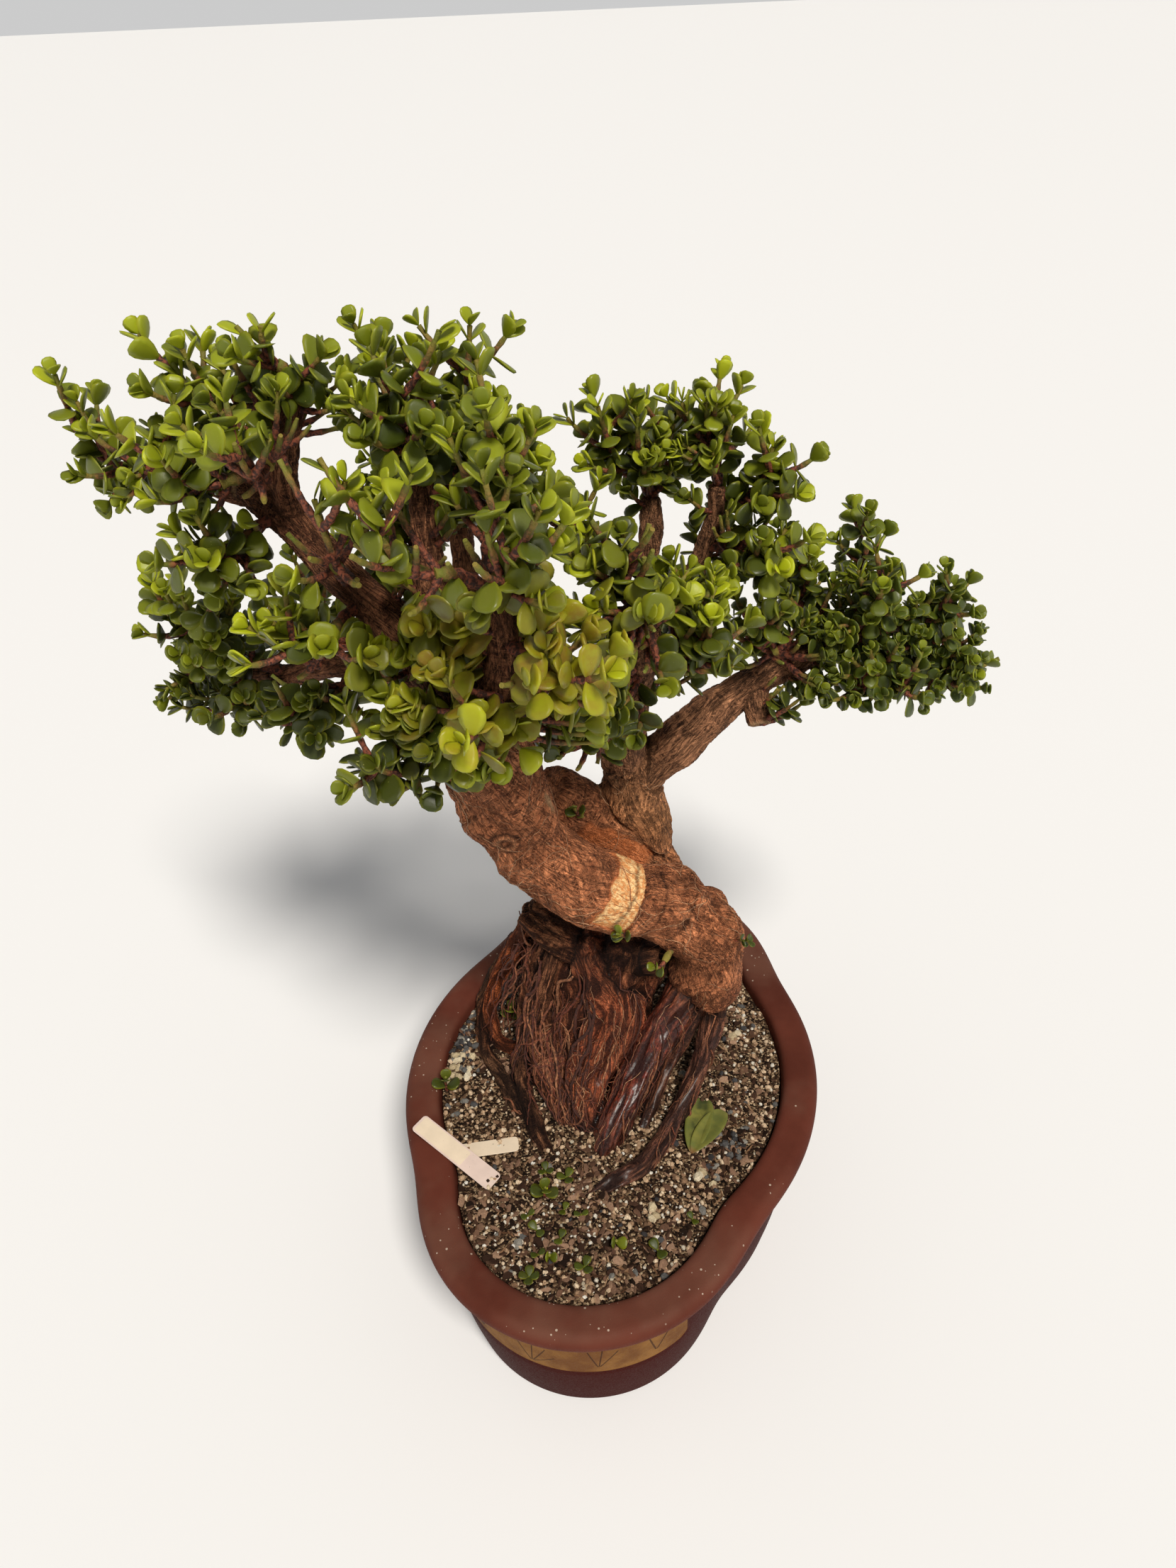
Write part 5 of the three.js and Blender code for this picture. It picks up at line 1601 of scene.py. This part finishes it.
# Density is grains in a square millimetre, flat is how thin they are, and slim is how narrow.
grainKinds = {
    "pumice": {"density": 0.05, "size": [1.1, 2.8], "flat": [0.6, 0.95], "tilt": 3.1, "seed": 11,
               "tones": [(44, 30, 22), (146, 114, 88), (206, 174, 140), (244, 222, 190)]},
    "perlite": {"density": 0.012, "size": [0.9, 2.2], "flat": [0.7, 1], "tilt": 3.1, "seed": 12,
                "tones": [(196, 184, 160), (224, 214, 194), (236, 230, 214), (244, 240, 230)]},
    "chips": {"density": 0.036, "size": [1.8, 6.0], "flat": [0.12, 0.24], "tilt": 0.9, "seed": 13,
              "slim": [0.35, 0.8], "tones": [(22, 14, 10), (62, 42, 32), (116, 86, 68), (176, 142, 116)]},
    "sticks": {"density": 0.008, "size": [3.0, 7.5], "flat": [0.1, 0.16], "tilt": 0.5, "seed": 16,
               "slim": [0.09, 0.16], "tones": [(60, 38, 26), (98, 68, 48), (138, 104, 76), (170, 136, 104)]},
    "pebbles": {"density": 0.07, "size": [1.8, 4.2], "flat": [0.5, 0.8], "tilt": 0.8, "seed": 14,
                "tones": [(44, 44, 46), (72, 72, 74), (104, 104, 102), (150, 146, 136)]},
    "stones": {"density": 0.016, "size": [3.6, 5.6], "flat": [0.6, 0.85], "tilt": 0.6, "seed": 15,
               "tones": [(184, 166, 132), (206, 188, 152), (222, 206, 172), (232, 220, 192)]},
}
scatterPlan = {"segments": 180, "rings": 60, "wallGap": 1.5, "raised": 2.0, "coarse": 3, "labelGap": 10}
# Where litter, dark pebbles, perlite and cream stones gather: x, y and reach each way.
litterSpots = [[-83, -8, 24, 30], [-78, 38, 30, 34], [88, 21, 16, 40], [-50, -150, 70, 34],
               [-10, -108, 60, 20], [10, -170, 80, 34], [70, -150, 40, 24], [105, -60, 26, 40],
               [-105, 20, 22, 26], [-70, -165, 30, 22]]
pebbleSpots = [[-134, 16, 16, 30], [-122, 52, 14, 16], [104, -55, 8, 8], [-60, 170, 60, 20]]
perliteSpots = [[-118, -81, 16, 14], [-40, -160, 80, 40], [78, -118, 40, 30], [116, 60, 24, 60]]
stoneSpots = [[123, 78, 6, 6], [95, 51, 6, 6], [82, -90, 6, 6], [-122, -23, 8, 6], [-128, -6, 6, 6],
              [-70, -190, 8, 8], [48, -128, 8, 8]]


def nearSpots(x, y, spots):
    return max(math.exp(-(((x - u) / a) ** 2 + ((y - v) / b) ** 2)) for u, v, a, b in spots)


def awayFromLabels(points):
    away = np.full(len(points), 100.0)
    for plan in labelPlan.values():
        foot = np.array(plan["from"][:2], float)
        way = np.array(plan["to"][:2]) - foot
        along = np.clip((points - foot) @ way / (way @ way), 0, 1)
        away = np.minimum(away, np.linalg.norm(points - foot - along[:, None] * way, axis=1))
    return away


def grainShare(kind, x, y):
    litter = nearSpots(x, y, litterSpots)
    if kind == "pumice":
        return 1 - 0.75 * litter - 0.6 * nearSpots(x, y, pebbleSpots)
    if kind == "perlite":
        return 0.3 + 1.6 * nearSpots(x, y, perliteSpots)
    if kind in ("chips", "sticks"):
        return 0.12 + 1.3 * litter
    if kind == "pebbles":
        return 0.03 + 1.6 * nearSpots(x, y, pebbleSpots)
    return 1.8 * nearSpots(x, y, stoneSpots)


def makeGrainTree():
    tree, inputs, outputs = makeGroup("scatterGrains", "GeometryNodeTree", {
        "Geometry": ("Geometry", None), "Density": ("Float", 1.0), "Smallest": ("Float", 0.001),
        "Largest": ("Float", 0.002), "Flattest": ("Float", 0.5), "Fullest": ("Float", 1.0),
        "Slimmest": ("Float", 0.5), "Widest": ("Float", 0.95), "Tilt": ("Float", 0.5), "Seed": ("Int", 1),
        "Finish": ("Material", None)}, {"Geometry": "Geometry"})

    def random(low, high, shift, kind="FLOAT"):
        first = {"FLOAT": 2, "FLOAT_VECTOR": 0}[kind]
        node = addNode(tree, "FunctionNodeRandomValue", {first: low, first + 1: high}, data_type=kind)
        tree.links.new(plus(inputs["Seed"], float(shift)), node.inputs["Seed"])
        return node.outputs["Value"] if kind == "FLOAT_VECTOR" else node.outputs[1]

    def vector(x, y, z):
        return addNode(tree, "ShaderNodeCombineXYZ", {0: x, 1: y, 2: z}).outputs[0]
    share = addNode(tree, "GeometryNodeInputNamedAttribute", {"Name": "share"}, data_type="FLOAT").outputs[0]
    spots = addNode(tree, "GeometryNodeDistributePointsOnFaces", {
        "Mesh": inputs["Geometry"], 4: times(share, inputs["Density"]), "Seed": inputs["Seed"]})
    toned = addNode(tree, "GeometryNodeStoreNamedAttribute", {
        "Geometry": spots.outputs["Points"], "Name": "tone", "Value": random(0.0, 1.0, 1)},
        data_type="FLOAT", domain="POINT")
    ball = addNode(tree, "GeometryNodeMeshIcoSphere", {"Radius": 1.0, "Subdivisions": 1})
    lean = times(inputs["Tilt"], -1.0)
    turn = random(vector(lean, lean, 0.0), vector(inputs["Tilt"], inputs["Tilt"], 6.28), 2, "FLOAT_VECTOR")
    shape = random(vector(0.8, inputs["Slimmest"], inputs["Flattest"]),
                   vector(1.2, inputs["Widest"], inputs["Fullest"]), 3, "FLOAT_VECTOR")
    scale = scaled(shape, random(inputs["Smallest"], inputs["Largest"], 4))
    grains = addNode(tree, "GeometryNodeInstanceOnPoints", {
        "Points": toned.outputs[0], "Instance": ball.outputs["Mesh"], "Rotation": turn, "Scale": scale})
    whole = addNode(tree, "GeometryNodeRealizeInstances", {0: grains.outputs[0]})
    dressed = addNode(tree, "GeometryNodeSetMaterial", {0: whole.outputs[0], "Material": inputs["Finish"]})
    tree.links.new(dressed.outputs[0], outputs["Geometry"])
    return tree


def makeGrainFinish(name, tones):
    material, tree, shader = startMaterial(name + " grains", Roughness=0.9, Specular_IOR_Level=0.1)
    base = colourRamp(readAttribute(tree, "tone"),
                      [(i / (len(tones) - 1), colour(*tone)) for i, tone in enumerate(tones)])
    fine = mottled(objectPlace(tree), 900.0, 0.2)
    base = mixColour(times(fine, 0.35), base, colour(50, 36, 26))
    connect(shader, Base_Color=base, Normal=bump(fine, 0.6, 0.4 * mm))
    return material


def scatterGrains(name, kind, tree):
    segments, rings = scatterPlan["segments"], scatterPlan["rings"]
    wallTop = innerWall - scatterPlan["wallGap"]
    slim = kind.get("slim", [0.5, 0.95])
    surface = np.vectorize(soilHeight)
    rounds = [lobedRing(wallTop * ring / rings, surface, segments) for ring in range(rings, 0, -1)]
    points, faces = loft(rounds, None, (0, 0, soilHeight(0, 0)))
    points = np.array(points)
    shares = np.array([grainShare(name, x, y) for x, y in points[:, :2]])
    raised = points + (0, 0, scatterPlan["raised"])
    shares[nearestRun(raised, runNames)[1].min(1) < -1] = 0
    if kind["size"][1] > scatterPlan["coarse"]:
        shares[awayFromLabels(points[:, :2]) < scatterPlan["labelGap"]] = 0
    bed = makeObject("loose_" + name, points, faces=faces, attributes={"share": shares})
    if bed.data.polygons[0].normal.z < 0:
        bed.data.flip_normals()
    runTree(bed, tree, {
        "Density": kind["density"] * 1e6, "Smallest": kind["size"][0] * mm, "Largest": kind["size"][1] * mm,
        "Flattest": kind["flat"][0], "Fullest": kind["flat"][1], "Tilt": kind["tilt"], "Seed": kind["seed"],
        "Slimmest": slim[0], "Widest": slim[1],
        "Finish": makeGrainFinish(name, kind["tones"])})
    print("grains of", name + ":", len(bed.data.polygons) // 20)
    return finishPiece(bed, None, ["soil"])


grainTree = makeGrainTree()
for name, kind in grainKinds.items():
    scatterGrains(name, kind, grainTree)

# Small things that lie on the soil or grow in it.
labelShape = {"thickness": 0.8, "corner": 3, "bevel": 0.2, "sticker": [2, 46, 13.4], "stickerThickness": 0.12}
fallenPlan = {"stalk": [74, -70], "rise": 2.4, "slim": 0.46, "thickness": 0.07, "foot": 0.62, "tip": 0.45,
              "leaves": [[1.5, 54], [1.14, 48]]}
seedlingPlan = [  # x, y, leaf length, leaves and height
    [-27, -151, 8, 2, 3], [-9, -154, 7, 2, 2.5], [60, -151, 9, 2, 3], [12, -172, 8, 3, 3],
    [-24, -186, 8, 4, 4], [-22, -168, 6, 2, 2.5], [-11, -132, 6, 2, 2.5], [2, -134, 6, 2, 2.5],
    [-31, -104, 7, 3, 3], [-15, -106, 8, 3, 4], [81, -124, 6, 2, 2.5], [-36, -140, 6, 2, 2],
]
yellowLeaf = [-36, -119, 10]  # x, y and length
sprigPlan = {"place": [93.7, 22.2, 264.8], "heading": [0.78, -0.5, 0.6], "length": 13, "leaf": 6.5}


def roundedStrip(start, length, width, low, high, corner, bevel):  # a plate along x
    near, far, side = start + corner, start + length - corner, width / 2 - corner
    centres = [(far, side, 0), (near, side, 1), (near, -side, 2), (far, -side, 3)]

    def ring(inset, z):
        points = []
        for x, y, quarter in centres:
            for i in range(7):
                turn, reach = (quarter + i / 6) * math.pi / 2, corner - inset
                points.append((x + reach * math.cos(turn), y + reach * math.sin(turn), z))
        return points
    rings = [ring(bevel, low), ring(0, low + bevel), ring(0, high - bevel), ring(bevel, high)]
    middle = start + length / 2
    return loft(rings, (middle, 0, low), (middle, 0, high))


def layAlong(obj, start, end):  # puts a plate that lies along x between two places
    along = (Vector(end) - Vector(start)).normalized()
    across = upward.cross(along).normalized()
    setPoints(obj.data, pointsOf(obj.data) @ np.array((along, across, along.cross(across))) + start)
    faceOutward(obj.data)
    return obj


def makeLabelFinish(name, tone, soil):
    material, tree, shader = startMaterial(name, Roughness=0.42)
    place = objectPlace(tree)
    cloud = mottled(place, 60.0, 0.2)
    base = mixColour(times(cloud, 0.4), colour(*tone), colour(*(0.86 * t for t in tone)))
    crumbs = speckled(place, 900.0, 0.3, soil)
    base = mixColour(times(crumbs, 0.75), base, colour(110, 84, 62))
    connect(shader, Base_Color=base, Normal=bump(crumbs, 0.4, 0.3 * mm))
    return material


def layPlate(name, plan, *strip):
    points, faces = roundedStrip(*strip)
    return layAlong(makeObject(name, points, faces=faces), plan["from"], plan["to"])


def buildLabels():
    plastic = makeLabelFinish("label plastic", (226, 204, 192), 0.12)
    paper = makeLabelFinish("blank sticker", (234, 216, 190), 0.04)
    top = labelShape["thickness"]
    for name, plan in labelPlan.items():
        plate = layPlate(name + "_strip", plan, 0, plan["length"], plan["width"], 0, top,
                         labelShape["corner"], labelShape["bevel"])
        finishPiece(plate, plastic if name == "label_long" else paper, [name])
    sticker = layPlate("label_sticker", labelPlan["label_long"], *labelShape["sticker"], top,
                       top + labelShape["stickerThickness"], 1.5, 0.04)
    finishPiece(sticker, paper)


def buildFallenLeaves():
    x, y = fallenPlan["stalk"]
    blade, bladeFaces, bladePlaces = bladeOf(26, 20, fallenPlan["thickness"], fallenPlan["foot"],
                                            fallenPlan["tip"])
    parts = []
    for number, (turn, length) in enumerate(fallenPlan["leaves"]):
        c, s = math.cos(turn), math.sin(turn)
        ways = np.array([(c, s, 0), (-s, c, 0), (0, 0, 1)])
        shaped = blade * (length, length * fallenPlan["slim"], length)
        shaped[:, 2] += 0.5 * np.sin(shaped[:, 0] / 6) + 0.7 * number
        placed = shaped @ ways + (x, y, soilHeight(x, y) + fallenPlan["rise"])
        parts.append((placed.tolist(), bladeFaces))
    sides = [0] * len(blade) + [1] * len(blade)
    pair = makeRound("fallen_paddle_leaves", *joinedParts(parts),
                     {"leafPlace": 2 * bladePlaces, "number": sides})
    material, tree, shader = startMaterial("fallen leaf", Roughness=0.5)
    place = objectPlace(tree)
    across, along = split(readAttribute(tree, "leafPlace", "Vector"))[:2]
    cloud = mottled(place, 70.0, 0.15)
    blotch = mottled(place, 42.0, 0.08)
    base = mixColour(cloud, colour(126, 124, 54), colour(100, 106, 46))
    inner = spread(compute("ABSOLUTE", across), 0.8, 0.3)
    first = minus(1.0, readAttribute(tree, "number"))
    bruised = times(times(blotch, inner), plus(0.25, times(first, 0.55)))
    base = mixColour(bruised, base, colour(44, 52, 24))
    base = mixColour(spread(along, 0.12, 0.0), base, colour(120, 84, 44))
    edge = spread(compute("ABSOLUTE", across), 0.8, 1.0)
    base = mixColour(times(edge, 0.35), base, colour(90, 96, 36))
    connect(shader, Base_Color=base, Normal=bump(cloud, 0.3, 0.4 * mm))
    finishPiece(pair, material, ["fallen_leaves"])


def roundLeaves(foot, heading, length, count, turn, lean=1.15):  # a small whorl at the end of a stem
    section = ringFrames(bowed(foot, foot + heading * 0.5, foot + heading), 1)[-1]
    turns = [turn + 2 * math.pi * i / count for i in range(count)]
    return [dict(leafAt(section, turn, lean, length), age=0.8) for turn in turns]


def buildSeedlings():
    roll = dice(seeds["seedlings"])
    twigs, leaves = [], []
    for x, y, length, count, height in seedlingPlan:
        foot = Vector((x, y, soilHeight(x, y) - 1))
        top = foot + upward * (height + 1)
        twigs.append((bowed(foot, (foot + top) / 2, top), 0.8, 0.6, 0.9))
        leaves += roundLeaves(top - upward, upward, length, count, 6.3 * roll())
    plantPiece("soil_seedlings", twigs, leaves, seeds["seedlingLeaves"])
    x, y, length = yellowLeaf
    lying = roundLeaves(Vector((x, y, soilHeight(x, y) + 1)), Vector((0.2, 0.1, 1)), length, 1, 2.2, 1.5)
    lying[0]["age"] = -0.6
    plantPiece("yellow_leaf", [], lying, seeds["yellowLeaf"])
    foot, heading = Vector(sprigPlan["place"]), Vector(sprigPlan["heading"]).normalized()
    tip = foot + heading * sprigPlan["length"]
    grown = []
    for share, turn in ((0.45, 0.4), (0.75, 2.0), (1, 0.4)):
        grown += roundLeaves(foot.lerp(tip, share) - heading, heading, sprigPlan["leaf"], 2, turn, 0.9)
    stem = (bowed(foot - heading * 3, (foot + tip) / 2, tip), 0.9, 0.6, 0.5)
    plantPiece("trunk_sprig", [stem], grown, seeds["sprig"])


def plantPiece(name, twigs, leaves, seed):
    for leaf in leaves:
        leaf["cover"] = 0
    dressSpray(name, [], twigs, leaves, seed)


def dressScreens():  # the plastic screens over the drain holes keep their solids
    material, tree, shader = startMaterial("screen plastic", Roughness=0.6)
    soil = mottled(objectPlace(tree), 150.0, 0.15)
    connect(shader, Base_Color=mixColour(soil, colour(26, 27, 25), colour(52, 42, 34)),
            Normal=bump(soil, 0.3, 0.4 * mm))
    for name in ("drain_mesh_front", "drain_mesh_back"):
        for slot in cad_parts[name].material_slots:
            slot.material = material


buildLabels()
buildFallenLeaves()
buildSeedlings()
dressScreens()
bpy.data.objects.remove(leafShape)
print("labels, fallen leaves and seedlings done")

# Floor, light and camera.
cameraPlan = {"azimuth": -12.76, "pitch": 36.1, "roll": 2.8, "lens": 25.06}


def placeCamera():
    azimuth, pitch, roll = (math.radians(cameraPlan[key]) for key in ("azimuth", "pitch", "roll"))
    forward = Vector((math.sin(azimuth) * math.cos(pitch), math.cos(azimuth) * math.cos(pitch),
                      -math.sin(pitch)))
    level = Vector((math.cos(azimuth), -math.sin(azimuth), 0))
    down = forward.cross(level)
    right = level * math.cos(roll) + down * math.sin(roll)
    below = down * math.cos(roll) - level * math.sin(roll)
    data = bpy.data.cameras.new("camera")
    data.lens = cameraPlan["lens"]
    data.sensor_width = 36
    data.clip_start = 0.02
    data.clip_end = 200
    camera = bpy.data.objects.new("camera", data)
    bpy.context.scene.collection.objects.link(camera)
    turned = Matrix((right, -below, -forward)).transposed().to_4x4()
    camera.matrix_world = Matrix.Translation(viewer * mm) @ turned
    bpy.context.scene.camera = camera


# The sun, the brightness of the sky and of its pale band, and how high the band reaches.
lightPlan = {"from": (0.38, -0.56, 0.95), "strength": 3.1, "spread": 0.25, "tint": (1.0, 0.94, 0.86),
             "sky": 0.22, "horizon": 0.6, "band": [0.06, 0.5]}


def placeLights():
    data = bpy.data.lights.new("key", "SUN")
    data.energy = lightPlan["strength"]
    data.angle = lightPlan["spread"]
    data.color = lightPlan["tint"]
    lamp = bpy.data.objects.new("key", data)
    bpy.context.scene.collection.objects.link(lamp)
    lamp.rotation_euler = Vector(lightPlan["from"]).to_track_quat("Z", "Y").to_euler()
    world = bpy.data.worlds.new("studio")
    world.use_nodes = True
    tree = world.node_tree
    way = split(addNode(tree, "ShaderNodeTexCoord").outputs["Generated"])
    tree.nodes["Background"].inputs["Color"].default_value = (1, 1, 1, 1)
    low, high = lightPlan["band"]
    level = spread(way[2], low, high, lightPlan["horizon"], lightPlan["sky"])
    tree.links.new(level, tree.nodes["Background"].inputs["Strength"])
    bpy.context.scene.world = world


def buildFloor():
    reach = 60000
    floor = makeObject("floor", [(x, y, -0.5) for x, y in
                                 ((-reach, -reach), (reach, -reach), (reach, reach), (-reach, reach))],
                       faces=[(0, 1, 2, 3)])
    material, tree, shader = startMaterial("pale floor", Roughness=0.9)
    shader.inputs["Base Color"].default_value = (0.9, 0.91, 0.92, 1)
    floor.data.materials.append(material)


placeCamera()
placeLights()
buildFloor()
bpy.context.scene.view_settings.view_transform = "Standard"
print("camera, lights and floor done")
